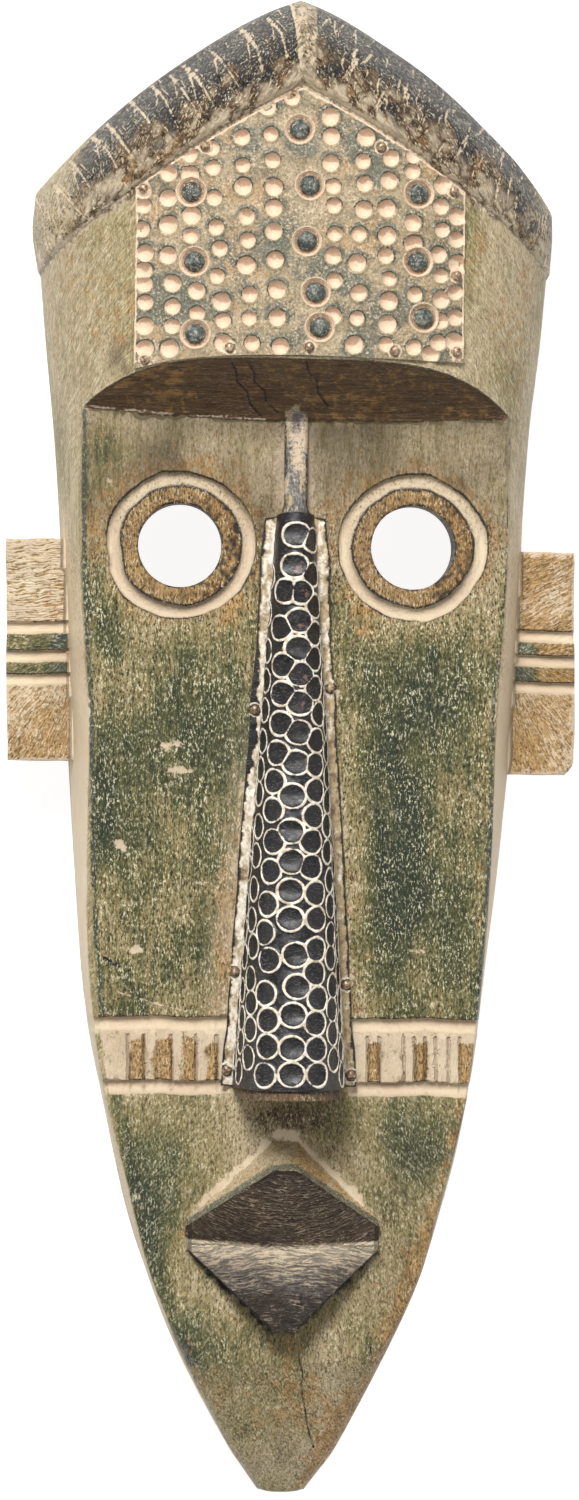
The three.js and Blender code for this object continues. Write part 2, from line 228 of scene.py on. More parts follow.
def section_tables():
    angle = np.linspace(0, math.pi / 2, ARC_POINTS)
    across, up, length = [], [], []
    for y in SECTION_Y:
        power = 2 / squareness(y)
        x, z = np.sin(angle) ** power, np.maximum(np.cos(angle), 0) ** power
        walked = np.hypot(np.diff(x) * rim_half(y), np.diff(z) * crown(y)).cumsum()
        walked = np.concatenate([[0], walked])
        across.append(np.interp(SECTION_Q * walked[-1], walked, x))
        up.append(np.interp(SECTION_Q * walked[-1], walked, z))
        length.append(walked[-1])
    return np.array(across), np.array(up), np.array(length)


ACROSS, UP, GIRTH = section_tables()


def half_girth(y):
    """How far it is over the surface from the middle line to the rim."""
    return np.interp(y, SECTION_Y, GIRTH)


def section(s, y):
    """The plain head's place at s mm over the surface from its middle line: x and z."""
    q = bounded(np.abs(s) / half_girth(y)) * (len(SECTION_Q) - 1)
    row = np.clip((y - SECTION_Y[0]) / ROW_STEP, 0, len(SECTION_Y) - 1.001)
    i, j = np.minimum(q.astype(int), len(SECTION_Q) - 2), row.astype(int)
    fi, fj = q - i, row - j
    return np.sign(s) * rim_half(y) * bilinear(ACROSS, i, j, fi, fj), crown(y) * bilinear(UP, i, j, fi, fj)


def crest_share(x, y):
    """0 at the crest's inner edge, 1 at its outer edge."""
    inner = gable(CREST_INNER, x)
    return (y - inner) / (crest_top(x) - inner)


def roll(share):
    """The crest leans back towards its outer edge."""
    turn = bounded((share - CREST_ROLL_START) / (1 - CREST_ROLL_START))
    return np.sqrt(1 - (CREST_ROLL * turn) ** 2)


def grown(x, z, y):
    """The plain head swells into the crest above the crest's inner edge."""
    share = crest_share(x, y)
    growth = step(share, *CREST_LIP)
    bigger = 1 + CREST_SIDE * growth / rim_half(y)
    return x * bigger, z * (1 + CREST_PROUD * growth / crown(y)) * roll(share)


def outer_crossing():
    """For each s, the y where the surface reaches the crest's outer edge, and its z there."""
    s = np.arange(-CROSS_REACH, CROSS_REACH + CROSS_STEP, CROSS_STEP)
    y = np.full(s.shape, PEAK_Y)
    for _ in range(CROSS_ROUNDS):
        x, z = section(s, y)
        x, z = grown(x, z, y)
        y = mix(y, crest_top(x), 0.5)
    return s, y, z


CROSS_S, CROSS_Y, CROSS_Z = outer_crossing()


def soft_min(a, b, soft):
    h = bounded(0.5 + 0.5 * (b - a) / soft)
    return mix(b, a, h) - soft * h * (1 - h)


def face_z(x, y, z):
    """Cuts the flat face and the cove under the brow into the plain head."""
    flat = soft_min(z, panel_z(y), FACE_SOFT)
    # out at the sides the brow line has met the face's top edge, and the cove has no width left
    width = np.maximum(brow_line(x) - panel_top(x), COVE_LEAST)
    share = bounded((y - panel_top(x)) / width)
    return mix(flat, z, share ** COVE_BEND)


# Lines cut or scratched by hand: a list of (points, half width) each

def marks(x, y, lines, taper=0.0):
    """1 on the middle of the nearest line, falling to 0 at its half width, which may taper."""
    value = np.zeros(x.shape)
    for points, half in lines:
        xs, ys = [p[0] for p in points], [p[1] for p in points]
        near = (x > min(xs) - half) & (x < max(xs) + half) & (y > min(ys) - half) & (y < max(ys) + half)
        if near.any():
            d, along = line_distance(x[near], y[near], points)
            value[near] = np.maximum(value[near], 1 - d / (half * (1 - taper * along)))
    return value


def stroke(start, angle, length, half, hook=0.0):
    """A short line from a place at an angle in degrees, bent halfway by the hook."""
    points = [start]
    for turn in (angle, angle + hook):
        x, y = points[-1]
        reach = 0.5 * length
        points.append((x + reach * math.cos(math.radians(turn)), y + reach * math.sin(math.radians(turn))))
    return points, half


CREST_STROKE_STARTS = (
    (-10.5, 241.5), (-19, 237.6), (-29.4, 230.8), (-37.8, 225.8), (-42.5, 222.6), (-48.3, 219.4),
    (-55.4, 214.4), (-62.9, 206.8), (-67.7, 202.4), (-75.2, 195.1), (-80.6, 187.5),
)
LOOSE_HOOKS, SHORT_NICKS, END_NICKS = 64, 70, 22


def crest_strokes():
    """Wedges cut into the crest: pairs along its left edge, loose hooks on its right half."""
    made = []
    for x, y in CREST_STROKE_STARTS:
        wide = random.uniform(1.0, 1.6)
        lean, length = random.uniform(-62, -46), random.uniform(13, 18)
        made.append(stroke((x - 0.6, y + 0.8), lean, length, wide, random.uniform(-22, 8)))
        made.append(stroke((x + 2.2, y - 0.6), lean + random.uniform(-8, 8), random.uniform(5, 11), 0.45))
        lean, length = random.uniform(-88, -74), random.uniform(6, 15)
        made.append(stroke((x + 0.6, y - random.uniform(1, 4)), lean, length, random.uniform(0.4, 1.0)))
        for _ in range(2):
            start = x + random.uniform(3, 11), y - random.uniform(8, 16)
            lean, length = random.uniform(-85, -45), random.uniform(2, 7)
            made.append(stroke(start, lean, length, random.uniform(0.35, 0.6)))
    for _ in range(LOOSE_HOOKS):
        x = random.uniform(8, 76)
        share = random.uniform(0.28, 0.98)
        y = mix(gable(CREST_INNER, x), crest_top(x), share)
        lean, length, half = random.uniform(-130, -95), random.uniform(3, 8), random.uniform(0.45, 1.0)
        made.append(stroke((x, y), lean, length, half, random.uniform(-30, 30)))
    for _ in range(SHORT_NICKS):
        x = random.choice((-1, 1)) * random.uniform(4, 84)
        y = mix(gable(CREST_INNER, x), crest_top(x), random.uniform(0.2, 0.95))
        angle = -70 + math.copysign(random.uniform(0, 30), x) * -1
        made.append(stroke((x, y), angle, random.uniform(2, 5), random.uniform(0.3, 0.55)))
    for side in (-1, 1):
        for _ in range(END_NICKS):
            x = side * random.uniform(76, 88)
            y = random.uniform(163, 190)
            made.append(stroke((x, y), -90 - side * random.uniform(4, 22), random.uniform(5, 10), 0.45))
    return made


CREST_STROKES = crest_strokes()
CRACKS = (
    ([(-22.1, 127.6), (-20.4, 124.6), (-20.2, 122), (-16.6, 118.8), (-15.6, 115.2), (-11.8, 111.3)], 0.5),
    ([(-16.9, 127.7), (-14.6, 124.9), (-14.4, 122), (-10.8, 118.9), (-10.2, 115.6), (-6.2, 112.7)], 0.5),
    ([(2.1, 128.2), (3.4, 124.8), (6.2, 122.4), (6.6, 118.9), (10.3, 114.6)], 0.45),
    ([(4.5, -200.3), (5.9, -206), (5.6, -211), (6.4, -216), (7.2, -219), (7.8, -224), (10.2, -232)], 0.45),
    ([(28.5, -195.5), (28.2, -199.8)], 0.6),
    ([(-61.6, -68.8), (-56.7, -71.1)], 1.2),
)
SCRATCHES = (
    ([(-57.2, -79.7), (-46.6, -82.9), (-32.7, -86.4)], 0.6),
    ([(33.2, -95.5), (37.6, -105.4)], 0.6), ([(37.6, -95.5), (33.2, -105.4)], 0.6),
    ([(43.6, -29), (52.9, -29.4)], 0.7), ([(38.7, -64.8), (44, -65)], 0.6),
)
BAND_CUTS = tuple(
    ([(x, -94), (x + lean, -108.5)], 0.6) for x, lean in (
        (-53.6, 0.4), (-48.2, 0.2), (-39.2, 0.5), (-31, 0.3), (-24, 0.2), (26, 0.3), (29.8, 0.2),
        (37.9, 0.4), (41.5, 0.3), (45, 0), (48.5, 0.5), (52.8, 0.2), (56.5, 0.4),
    )
)
# Places where the paint and a little wood have come off: (x, y), (half width, half height)
CHIPS = (
    ((-36.7, -6.8), (7.8, 2.4)), ((-40.8, 2.3), (5.8, 2)), ((-56.2, -31), (3.2, 3.2)),
    ((-55.2, -61), (2.2, 2)), ((-50, -65.5), (6.2, 1.8)), ((-67.6, 12), (1, 8)),
    ((-68, 35), (0.8, 2.5)), ((-61.5, 89.7), (1.5, 1.5)), ((-61, -89), (3.4, 3.6)),
    ((-58.5, -110.5), (3, 3)), ((-54.5, -114.5), (2.2, 3)), ((-24.5, -114), (2, 3.4)),
    ((31.9, -186.4), (1, 1)), ((15.3, -192.1), (1, 1)),
)


# Carved detail

EYES = [(-38.0, 68.4), (39.2, 68.5)]
EYE_HOLE_R = 13.9
EYE_GROOVE_R, EYE_GROOVE_HALF, EYE_GROOVE_DEPTH = 22.1, 2.4, 2.0
BAND_TOP, BAND_LOW = -90.3, -111.4
BAND_GROOVE_HALF, BAND_GROOVE_DEPTH = 2.4, 2.0
NOSE_TOP_Y, NOSE_BOTTOM_Y = 112.0, -113.5
NOSE_HALF = (2.8, 17.8)
NOSE_HEIGHT = (2.5, 37.0)
NOSE_SQUARENESS = 2.3
RIDGE_HALF = 3.9
RIB_MIDDLE, RIB_HALF, RIB_NARROW, RIB_PROUD = 1.2, 4.4, 0.66, 1.7
RIB_GROOVE_X, RIB_GROOVE_LEAN, RIB_GROOVE_HALF, RIB_GROOVE_DEPTH = 4.1, 3.2, 0.9, 0.6
ROUGH_HEIGHT, HACKED_HEIGHT, STROKE_DEPTH, BEAD_HEIGHT = 0.55, 0.8, 1.0, 0.9
SOCKET_DEPTH, CUT_DEPTH, CRACK_DEPTH, SCRATCH_DEPTH, CHIP_DEPTH, SEAT_DEPTH = 0.7, 0.7, 0.9, 0.25, 0.3, 1.7

# Sheet metal
SHEET, SHEET_GAP = 0.8, 0.4
PLATE_HALF, PLATE_LOW_Y, PLATE_TOP_GAP = 53.4, 130.0, 1.2
PLATE_DROP_LEFT, PLATE_DROP_RIGHT = 4.6, 1.4
NOSE_SHEET_TOP_Y, NOSE_SHEET_LOW_Y, NOSE_FLANGE, NOSE_TOP_SLOPE = 79.5, -110.4, 5.0, 0.12


def chipped(x, y):
    """Towards 1 where the paint has come off in ragged groups of dashes."""
    value = np.zeros(x.shape)
    for place, radii in CHIPS:
        value = np.maximum(value, blot(x, y, place, radii, 0.9))
    return value


def groove(distance, half, depth):
    """A fluted groove with steep sides: 0 outside it and -depth on its middle line."""
    return -depth * bounded(1 - (distance / half) ** 3) ** 0.6


def nose_share(y):
    return bounded((NOSE_TOP_Y - y) / (NOSE_TOP_Y - NOSE_BOTTOM_Y))


def nose_half(y):
    return mix(*NOSE_HALF, nose_share(y))


def ridge_half(y):
    """Half width of the wooden nose, which is slimmer where it shows above its sheet."""
    return mix(nose_half(y), RIDGE_HALF, step(y, NOSE_SHEET_TOP_Y - 1, NOSE_SHEET_TOP_Y + 2))


def nose_height(y):
    return mix(*NOSE_HEIGHT, nose_share(y))


def on_face(x, y):
    """1 on the flat face and the chin, 0 above the face's top edge."""
    return fade(y, panel_top(x) - 1.0, panel_top(x))


def plate_low(x):
    share = np.abs(x) / PLATE_HALF
    return PLATE_LOW_Y - np.where(x < 0, PLATE_DROP_LEFT * share ** 3, PLATE_DROP_RIGHT * share)


def plate_margin(x, y):
    """How far a place on the forehead lies inside the sheet's outline."""
    top = gable(CREST_INNER, x) - PLATE_TOP_GAP
    return np.minimum(PLATE_HALF - np.abs(x), np.minimum(y - plate_low(x), 0.85 * (top - y)))


def rib_half(share):
    """Half width of the crest's rib, which widens upwards."""
    return RIB_HALF * mix(RIB_NARROW, 1, bounded(share))


def rib_groove(x, share):
    """Distance from the middle line of the cut along the rib's left side."""
    return x + RIB_GROOVE_X - RIB_GROOVE_LEAN * (1 - share)


def crest_bead(x, y):
    """1 on the bead left standing along the crest's inner edge, wider on the right."""
    half = np.interp(x, (-60, -5, 5, 60), (0.7, 0.7, 1.6, 1.2))
    middle = np.interp(x, (-5, 5), (0.9, 0.5))
    wander = 0.9 * swell(x, y, 6, 25)
    return line_of(y - gable(CREST_INNER, x) - middle + wander, half)


def crest_relief(x, y, share):
    """The rib, the rough hacked skin of the crest and its cut strokes."""
    on_rib = bounded(1 - np.abs(x - RIB_MIDDLE) / rib_half(share))
    depth = RIB_PROUD * np.sqrt(on_rib) * step(share, 0.03, 0.12) * fade(share, 0.9, 1)
    in_groove = bounded(1 - np.abs(rib_groove(x, share)) / RIB_GROOVE_HALF)
    depth -= RIB_GROOVE_DEPTH * in_groove * step(share, 0.1, 0.2)
    rough = swell(x + 0.6 * np.abs(y), y, 2.6, 21)
    hacked = swell(x - 0.5 * np.abs(y), y, 5.5, 22)
    depth += ROUGH_HEIGHT * rough + HACKED_HEIGHT * hacked
    cut = marks(x, y, CREST_STROKES, taper=0.6)
    return depth - STROKE_DEPTH * np.sqrt(cut) + BEAD_HEIGHT * crest_bead(x, y)


def eye_groove_distance(x, y, r):
    """Distance from the wandering middle line of the groove round an eye."""
    wander = 1.5 * swell(x, y, 11, 3) + 0.7 * swell(x, y, 4, 6)
    return np.abs(r - EYE_GROOVE_R + wander)


def band_groove_distance(x, y, line):
    wander = 1.2 * swell(x, y * 0, 11, 5) + 0.5 * swell(x, y * 0, 3.5, 7)
    return np.abs(y - line + wander)


def carving(x, y):
    """Depth of the carved features seen from the front."""
    depth = np.zeros(x.shape)
    for cx, cy in EYES:
        r = np.hypot(x - cx, y - cy)
        depth += groove(eye_groove_distance(x, y, r), EYE_GROOVE_HALF, EYE_GROOVE_DEPTH)
        depth -= SOCKET_DEPTH * fade(r + 1.2 * swell(x, y, 5, 4), EYE_HOLE_R - 0.2, EYE_HOLE_R + 0.9)
    beside_nose = step(np.abs(x), nose_half(y) + 1.5, nose_half(y) + 3.5)
    for line in (BAND_TOP, BAND_LOW):
        middle = band_groove_distance(x, y, line)
        depth += beside_nose * groove(middle, BAND_GROOVE_HALF, BAND_GROOVE_DEPTH)
    bands = step(y, BAND_LOW, BAND_LOW + 3) * fade(y, BAND_TOP - 3, BAND_TOP) * beside_nose
    depth += bands * (0.5 * swell(x, y, 2.4, 23, 2) - CUT_DEPTH * (marks(x, y, BAND_CUTS) > 0.1))
    depth -= CRACK_DEPTH * marks(x, y, CRACKS) + SCRATCH_DEPTH * marks(x, y, SCRATCHES)
    depth -= CHIP_DEPTH * step(chipped(x, y) + 0.6 * swell(x, y, 1.8, 24), 0.35, 0.7)
    # the wood lies deeper under the embossed sheet
    depth -= SEAT_DEPTH * step(plate_margin(x, y), 1.2, 2.4)
    share = crest_share(x, y)
    crest = step(share, 0.04, 0.16)
    some = crest > 0
    if some.any():
        depth[some] += crest[some] * crest_relief(x[some], y[some], share[some])
    return depth


CHIN_ROUND, CHIN_ROUND_X, CHIN_ROUND_REACH, CHIN_FLARE = 1.0, 7.2, 12.0, 0.07
LEAN_TOP, LEAN_RIGHT, LEAN_CHIN, LEAN_REACH, LEAN_Z = 1.9, 2.2, 2.2, 16.0, 54.0
WALL_SOFT = 20
# The two sides aren't quite alike: (height, reach, (x where the shift starts, x where it is full),
# shift on the left, shift on the right)
SIDE_SHIFTS = (
    (175.0, 8.0, (50, 80), -1.3, 0.0), (108.0, 28.0, (40, 75), 0.5, -1.2),
    (-78.0, 45.0, (30, 60), -2.0, -1.0), (-155.0, 18.0, (20, 50), 0.0, -1.0),
    (-198.0, 30.0, (8, 26), 0.0, -1.5),
)


def around(x, z):
    """A place across the head that goes on growing down its side walls."""
    return x + x * (CROWN - z) / (np.abs(x) + WALL_SOFT)


# The hand-cut surface's waves: (size, seed, stretch, height)
WAVES = ((26, 11, 1.0, 0.5), (9, 12, 1.6, 0.22), (3.2, 13, 1.0, 0.1))


def waviness(x, y, z):
    """The uneven hand-cut surface, in mm along the normal."""
    across = around(x, z)
    return sum(height * swell(across, y, size, seed, stretch) for size, seed, stretch, height in WAVES)


def body_surface(s, t):
    """The mask's outer surface: s goes round it from the middle line, t up it from the chin.

    Past the crest's outer edge and past the chin, t goes down the end walls.
    """
    top = np.interp(s, CROSS_S, CROSS_Y)
    y = np.clip(t, CHIN_Y, top)
    x, z = section(s, y)
    side = bounded((z / crown(y)) ** 2)
    wave = waviness(x, y, z) * step(z, 0, 6)
    x, z = grown(x, z, y)
    plain_x = x
    for height, reach, sides, left, right in SIDE_SHIFTS:
        shift = left * step(-plain_x, *sides) + right * step(plain_x, *sides)
        x = x + line_of(y - height, reach) * shift
    z = face_z(x, y, z) + carving(x, y)
    x = x + np.sign(s) * wave * (1 - side)
    z = z + wave * side
    z = np.maximum(z - np.abs(t - y), 0)
    near_chin = fade(y, CHIN_Y, CHIN_Y + CHIN_ROUND_REACH)
    x = x * (1 + CHIN_FLARE * near_chin)
    y = y + CHIN_ROUND * bounded(np.abs(x) / CHIN_ROUND_X) ** 3 * near_chin
    # the chin's end and the crest's outer edge lean inwards towards the front
    lean_top = LEAN_TOP * mix(0.3, 1, step(np.abs(s), 8, 40)) + LEAN_RIGHT * step(s, 30, 90)
    y = y - lean_top * (z / LEAN_Z) ** 2 * step(t, top - LEAN_REACH, top)
    y = y + LEAN_CHIN * (z / CHIN_CROWN) ** 2 * fade(t, CHIN_Y, CHIN_Y + LEAN_REACH)
    return x, y, z


# Meshes from graded points

def cell_bend(s, t, size, surface, parts):
    """The most that the surface leaves the flat patch between each cell's corners."""
    shares = np.linspace(0, 1, parts + 1)
    at = {
        (u, v): np.array(surface(s + (u - 0.5) * size, t + (v - 0.5) * size))
        for u in shares for v in shares
    }
    bend = np.zeros(s.shape)
    for (u, v), value in at.items():
        low_side = mix(at[0.0, 0.0], at[1.0, 0.0], u)
        high_side = mix(at[0.0, 1.0], at[1.0, 1.0], u)
        bend = np.maximum(bend, np.abs(value - mix(low_side, high_side, v)).max(axis=0))
    return bend


def graded_points(area, surface, coarse, levels, tolerance, seed):
    """Cell centres of a square grid, halved wherever the surface bends more than the tolerance."""
    rng = np.random.default_rng(seed)
    (s0, t0), (s1, t1) = area
    s, t = np.meshgrid(np.arange(s0, s1, coarse), np.arange(t0, t1, coarse))
    s, t = s.ravel(), t.ravel()
    size = coarse
    done = []
    for level in range(levels):
        fine = cell_bend(s, t, size, surface, 4 if level == 0 else 2) > tolerance
        done.append(np.stack([s[~fine], t[~fine], np.full((~fine).sum(), size)]))
        quarter = size / 4
        parts = [(s[fine] + i * quarter, t[fine] + j * quarter) for i in (-1, 1) for j in (-1, 1)]
        s = np.concatenate([p[0] for p in parts])
        t = np.concatenate([p[1] for p in parts])
        size /= 2
    done.append(np.stack([s, t, np.full(s.shape, size)]))
    s, t, size = np.concatenate(done, axis=1)
    shake = rng.uniform(-0.22, 0.22, (2, len(s))) * size
    return s + shake[0], t + shake[1], size


def triangulated(edge, s, t):
    """Triangles over an outline and the points inside it; the outline's points come first."""
    points = [(float(a), float(b)) for a, b in list(edge) + list(zip(s, t))]
    flat, _, faces, _, _, _ = delaunay_2d_cdt(points, [], [list(range(len(edge)))], 1, 1e-5)
    return np.array([p[0] for p in flat]), np.array([p[1] for p in flat]), [list(f) for f in faces]


def mesh_object(name, verts, faces):
    mesh = bpy.data.meshes.new(name)
    mesh.from_pydata(np.asarray(verts).tolist(), [], faces)
    mesh.update()
    piece = bpy.data.objects.new(name, mesh)
    bpy.context.scene.collection.objects.link(piece)
    return piece


def only(piece):
    """Selects one piece alone and makes it active."""
    bpy.ops.object.select_all(action="DESELECT")
    piece.select_set(True)
    bpy.context.view_layer.objects.active = piece
    return piece


def apply_all(piece):
    only(piece)
    for modifier in list(piece.modifiers):
        bpy.ops.object.modifier_apply(modifier=modifier.name)
    return piece


def join_solid(piece, tool, operation):
    """Joins a solid to the piece, or cuts it out, and removes the tool."""
    modifier = piece.modifiers.new(operation.lower(), "BOOLEAN")
    modifier.operation = operation
    modifier.object = tool
    modifier.solver = "MANIFOLD"
    apply_all(piece)
    bpy.data.objects.remove(tool)
    return piece


def grid_box(name, counts, place):
    """A closed box of cells; place takes u, v, w from 0 to 1 and gives x, y, z in mm."""
    verts, faces = [], []
    axes = [np.linspace(0, 1, n + 1) for n in counts]
    for fixed in range(3):
        first, second = [i for i in range(3) if i != fixed]
        for end in (0.0, 1.0):
            a, b = np.meshgrid(axes[first], axes[second], indexing="ij")
            corner = [None] * 3
            corner[first], corner[second], corner[fixed] = a.ravel(), b.ravel(), np.full(a.size, end)
            start = sum(len(v) for v in verts)
            verts.append(np.stack(place(*corner), axis=1) * MM)
            rows, columns = a.shape
            # the winding flips with the side, so that every face points outwards
            flip = (end == 0.0) != (fixed == 1)
            for i in range(rows - 1):
                for j in range(columns - 1):
                    k = start + i * columns + j
                    quad = [k, k + columns, k + columns + 1, k + 1]
                    faces.append(quad[::-1] if flip else quad)
    piece = mesh_object(name, np.concatenate(verts), faces)
    only(piece)
    bpy.ops.object.mode_set(mode="EDIT")
    bpy.ops.mesh.select_all(action="SELECT")
    bpy.ops.mesh.remove_doubles(threshold=1e-7)
    bpy.ops.mesh.normals_make_consistent(inside=False)
    bpy.ops.object.mode_set(mode="OBJECT")
    return piece


# The mask's body

def body_outline():
    """The rim in the (s, t) plane, from the chin round by the right."""
    pace = 1.3
    chin_s = half_girth(CHIN_Y)
    inside = np.abs(CROSS_S) < half_girth(CROSS_Y)
    left_s, right_s = CROSS_S[inside][[0, -1]]
    left_y, right_y = CROSS_Y[inside][[0, -1]]
    points = []
    for s in np.arange(-chin_s, chin_s, pace):
        z = section(np.array(s), np.array(CHIN_Y))[1].item()
        points.append((s, CHIN_Y - z))
    for y in np.arange(CHIN_Y, right_y, pace):
        points.append((half_girth(y), y))
    for s in np.arange(right_s, left_s, -pace):
        points.append((s, np.interp(s, CROSS_S, CROSS_Y + CROSS_Z)))
    for y in np.arange(left_y, CHIN_Y, -pace):
        points.append((-half_girth(y), y))
    return points


def body_margin(s, t):
    """How far a place lies inside the body's outline."""
    bottom = CHIN_Y - section(s, np.full(s.shape, CHIN_Y))[1] * (np.abs(s) < half_girth(CHIN_Y))
    top = np.interp(s, CROSS_S, CROSS_Y + CROSS_Z)
    beside = half_girth(np.clip(t, CHIN_Y, PEAK_Y)) - np.abs(s)
    return np.minimum(beside, np.minimum(t - bottom, top - t))


LINE_WEIGHT = 0.19


def body_detail(s, t):
    """The outer surface with its painted lines, which need points of their own."""
    x, y, z = body_surface(s, t)
    paint = body_paint(x, y, z)
    return x, y, z, LINE_WEIGHT * paint["cream"], LINE_WEIGHT * paint["black"]


def carved_shell():
    """The outside of the mask as one closed solid with a flat back."""
    edge = body_outline()
    area = ((-160, CHIN_Y - 30), (160, PEAK_Y + 60))
    s, t, size = graded_points(area, body_detail, 3.0, 3, 0.118, seed=5)
    keep = body_margin(s, t) > 0.5 * size + 0.2
    s, t, faces = triangulated(edge, s[keep], t[keep])
    x, y, z = body_surface(s, t)
    z[: len(edge)] = 0
    faces.append(list(range(len(edge) - 1, -1, -1)))
    return mesh_object("mask_carving", np.stack([x, y, z], axis=1) * MM, faces)


NOSE_ROOT, NOSE_TUCK, NOSE_END_ROUND = 6.0, 0.9, 3.5
NOSE_LIP = (NOSE_SHEET_LOW_Y - 0.5, NOSE_SHEET_LOW_Y + 0.8)
RIDGE_SQUARENESS, RIDGE_CHANGE_Y = 3.4, (70, 84)


def nose_core():
    """The wooden wedge under the nose sheet; its top end shows above the sheet."""
    def place(u, v, w):
        y = mix(NOSE_BOTTOM_Y, NOSE_TOP_Y, v)
        angle = (1 - u) * math.pi
        power = 2 / np.interp(y, RIDGE_CHANGE_Y, (NOSE_SQUARENESS, RIDGE_SQUARENESS))
        bare = np.maximum(step(y, NOSE_SHEET_TOP_Y - 2, NOSE_SHEET_TOP_Y), fade(y, *NOSE_LIP))
        tuck = NOSE_TUCK * (1 - bare)
        x = (ridge_half(y) - tuck) * np.sign(np.cos(angle)) * np.abs(np.cos(angle)) ** power
        up = (nose_height(y) - tuck) * np.maximum(np.sin(angle), 0) ** power
        end = np.sqrt(bounded((NOSE_TOP_Y + 1 - y) / NOSE_END_ROUND))
        wave = 0.5 * swell(x, y, 6, 31) * w
        z = np.where(w > 0.5, panel_z(y) + up * end + wave, panel_z(y) - NOSE_ROOT)
        return x, y, z

    return grid_box("nose_core", (32, 90, 1), place)


MOUTH_X = (-32.8, -4.8, 2.8, 30.2)
MOUTH_BASE_Z = 46.0
# From the lowest row up, the heights and the depths at each place in MOUTH_X
MOUTH_ROWS = (
    ((-164.6, -191, -191, -164.2), (54, 64.5, 64.5, 54)),
    ((-161.2, -163.6, -163.6, -161.4), (53.6, 53, 53, 53.6)),
    ((-156.6, -137.8, -137.8, -156.6), (54, 63, 63, 54)),
    ((-154.4, -127.8, -127.8, -154.4), (50.6, 50.6, 50.6, 50.6)),
)


def mouth_between(x, row, part):
    """The height (part 0) or depth (part 1) between the mouth's rows, counted from 0."""
    a, b, c, d = (np.interp(x, MOUTH_X, line[part]) for line in MOUTH_ROWS)
    return np.select([row <= 1, row <= 2], [mix(a, b, row), mix(b, c, row - 1)], mix(c, d, row - 2))


def mouth():
    """A raised diamond folded inwards along its middle line, with a sloping band over it."""
    def place(u, v, w):
        x = mix(MOUTH_X[0], MOUTH_X[-1], u)
        row = v * 3
        y, z = mouth_between(x, row, 0), mouth_between(x, row, 1)
        wave = 0.7 * swell(x, y, 8, 41) + 0.35 * swell(x, y, 2.4, 42, 0.5)
        return x, y, np.where(w > 0.5, z + wave * (row < 2.9), MOUTH_BASE_Z)

    return grid_box("mouth_block", (50, 60, 1), place)


EARS = (
    {"side": -1, "inner": 68.0, "outer": 95.9, "low": -3.4, "high": 70.5, "grooves": (41.3, 31.8, 23.9)},
    {"side": 1, "inner": 68.0, "outer": 94.9, "low": -6.3, "high": 68.0, "grooves": (40.2, 32.0, 23.0)},
)
EAR_BACK_Z, EAR_FRONT_Z = 14.0, 36.0
EAR_TAPER = 1.4
EAR_GROOVE_HALF, EAR_GROOVE_DEPTH = 1.9, 1.9
EAR_ROWS = (0, 0.2, 0.8, 1)
EAR_CORNER, EAR_CORNER_SHARE = 3.2, 14.0
EAR_EDGE, EAR_EDGE_DROP = 1.2, 0.7


def ear_wander(reach):
    return 1.1 * swell(reach, reach * 0, 8, 51)


def ear(spec):
    """A flat block with three grooves across it, chamfered by wear."""
    side = spec["side"]
    height = spec["high"] - spec["low"]
    first = (min(spec["grooves"]) - 3 - spec["low"]) / height
    last = (max(spec["grooves"]) + 3 - spec["low"]) / height
    crowded = (0, first, last, 1)

    def place(u, v, w):
        v = np.interp(v, EAR_ROWS, crowded)
        far = spec["outer"] - EAR_TAPER * np.where(side < 0, 1 - v, 0.5 * v)
        far = far - (side > 0) * EAR_CORNER * bounded(1 - v * EAR_CORNER_SHARE) ** 2
        reach = mix(spec["inner"], far, u)
        y = mix(spec["low"], spec["high"], v)
        z = mix(EAR_BACK_Z, EAR_FRONT_Z, w)
        # the block's edges are a little rounded and hollowed
        out_u = bounded((far - reach) / EAR_EDGE)
        out_v = bounded(np.minimum(y - spec["low"], spec["high"] - y) / EAR_EDGE)
        front = step(w, 0.85, 1)
        z = z - front * EAR_EDGE_DROP * (2 - out_u - out_v)
        for line in spec["grooves"]:
            z = z + front * groove(np.abs(y - line + ear_wander(reach)), EAR_GROOVE_HALF, EAR_GROOVE_DEPTH)
        z = z + front * (1.1 * swell(reach, y, 7, 52) + 0.45 * swell(reach, y, 2.6, 53))
        reach = reach + step(u, 0.9, 1) * 0.6 * swell(z, y, 8, 54)
        y = y + (step(v, 0.96, 1) + step(0.04 - v, 0, 0.04)) * 0.6 * swell(reach, z, 7, 55)
        return side * reach, y, z

    return grid_box("ear_block", (26, 96, 6), place)


WALL = 13.0
HOLLOW_LOW_Y, HOLLOW_TOP_WALL, HOLLOW_SQUARENESS, HOLLOW_EDGE = -208.0, 20.0, 3.0, 0.12
HOLLOW_ROUNDS, PAST_BACK, GOUGE_DEPTH, GOUGE_SIZE = 6, 3.0, 1.6, 8
hollow_crown = through([
    (-208, 14), (-190, 24), (-150, 35), (-100, 39), (90, 41.5), (135, 62), (170, 66), (250, 66),
])


def hollow():
    """What is dug out of the back, with the round marks of a gouge."""
    def place(u, v, w):
        turn = (2 * u - 1) * math.pi / 2
        bend = 2 / HOLLOW_SQUARENESS
        across = np.sign(turn) * np.abs(np.sin(turn)) ** bend
        x, y = np.zeros(u.shape), np.zeros(u.shape)
        for _ in range(HOLLOW_ROUNDS):
            y = mix(HOLLOW_LOW_Y, crest_top(x) - HOLLOW_TOP_WALL, v)
            x = across * np.maximum(1, rim_half(y) - WALL)
        z = hollow_crown(y) * np.maximum(HOLLOW_EDGE, np.maximum(np.cos(turn), 0) ** bend)
        gouged = GOUGE_DEPTH * swell(x, y, GOUGE_SIZE, 61, 1.8) * step(z, 3, 12)
        return x, y, np.where(w > 0.5, z + gouged, -PAST_BACK)

    return grid_box("hollow", (44, 110, 1), place)


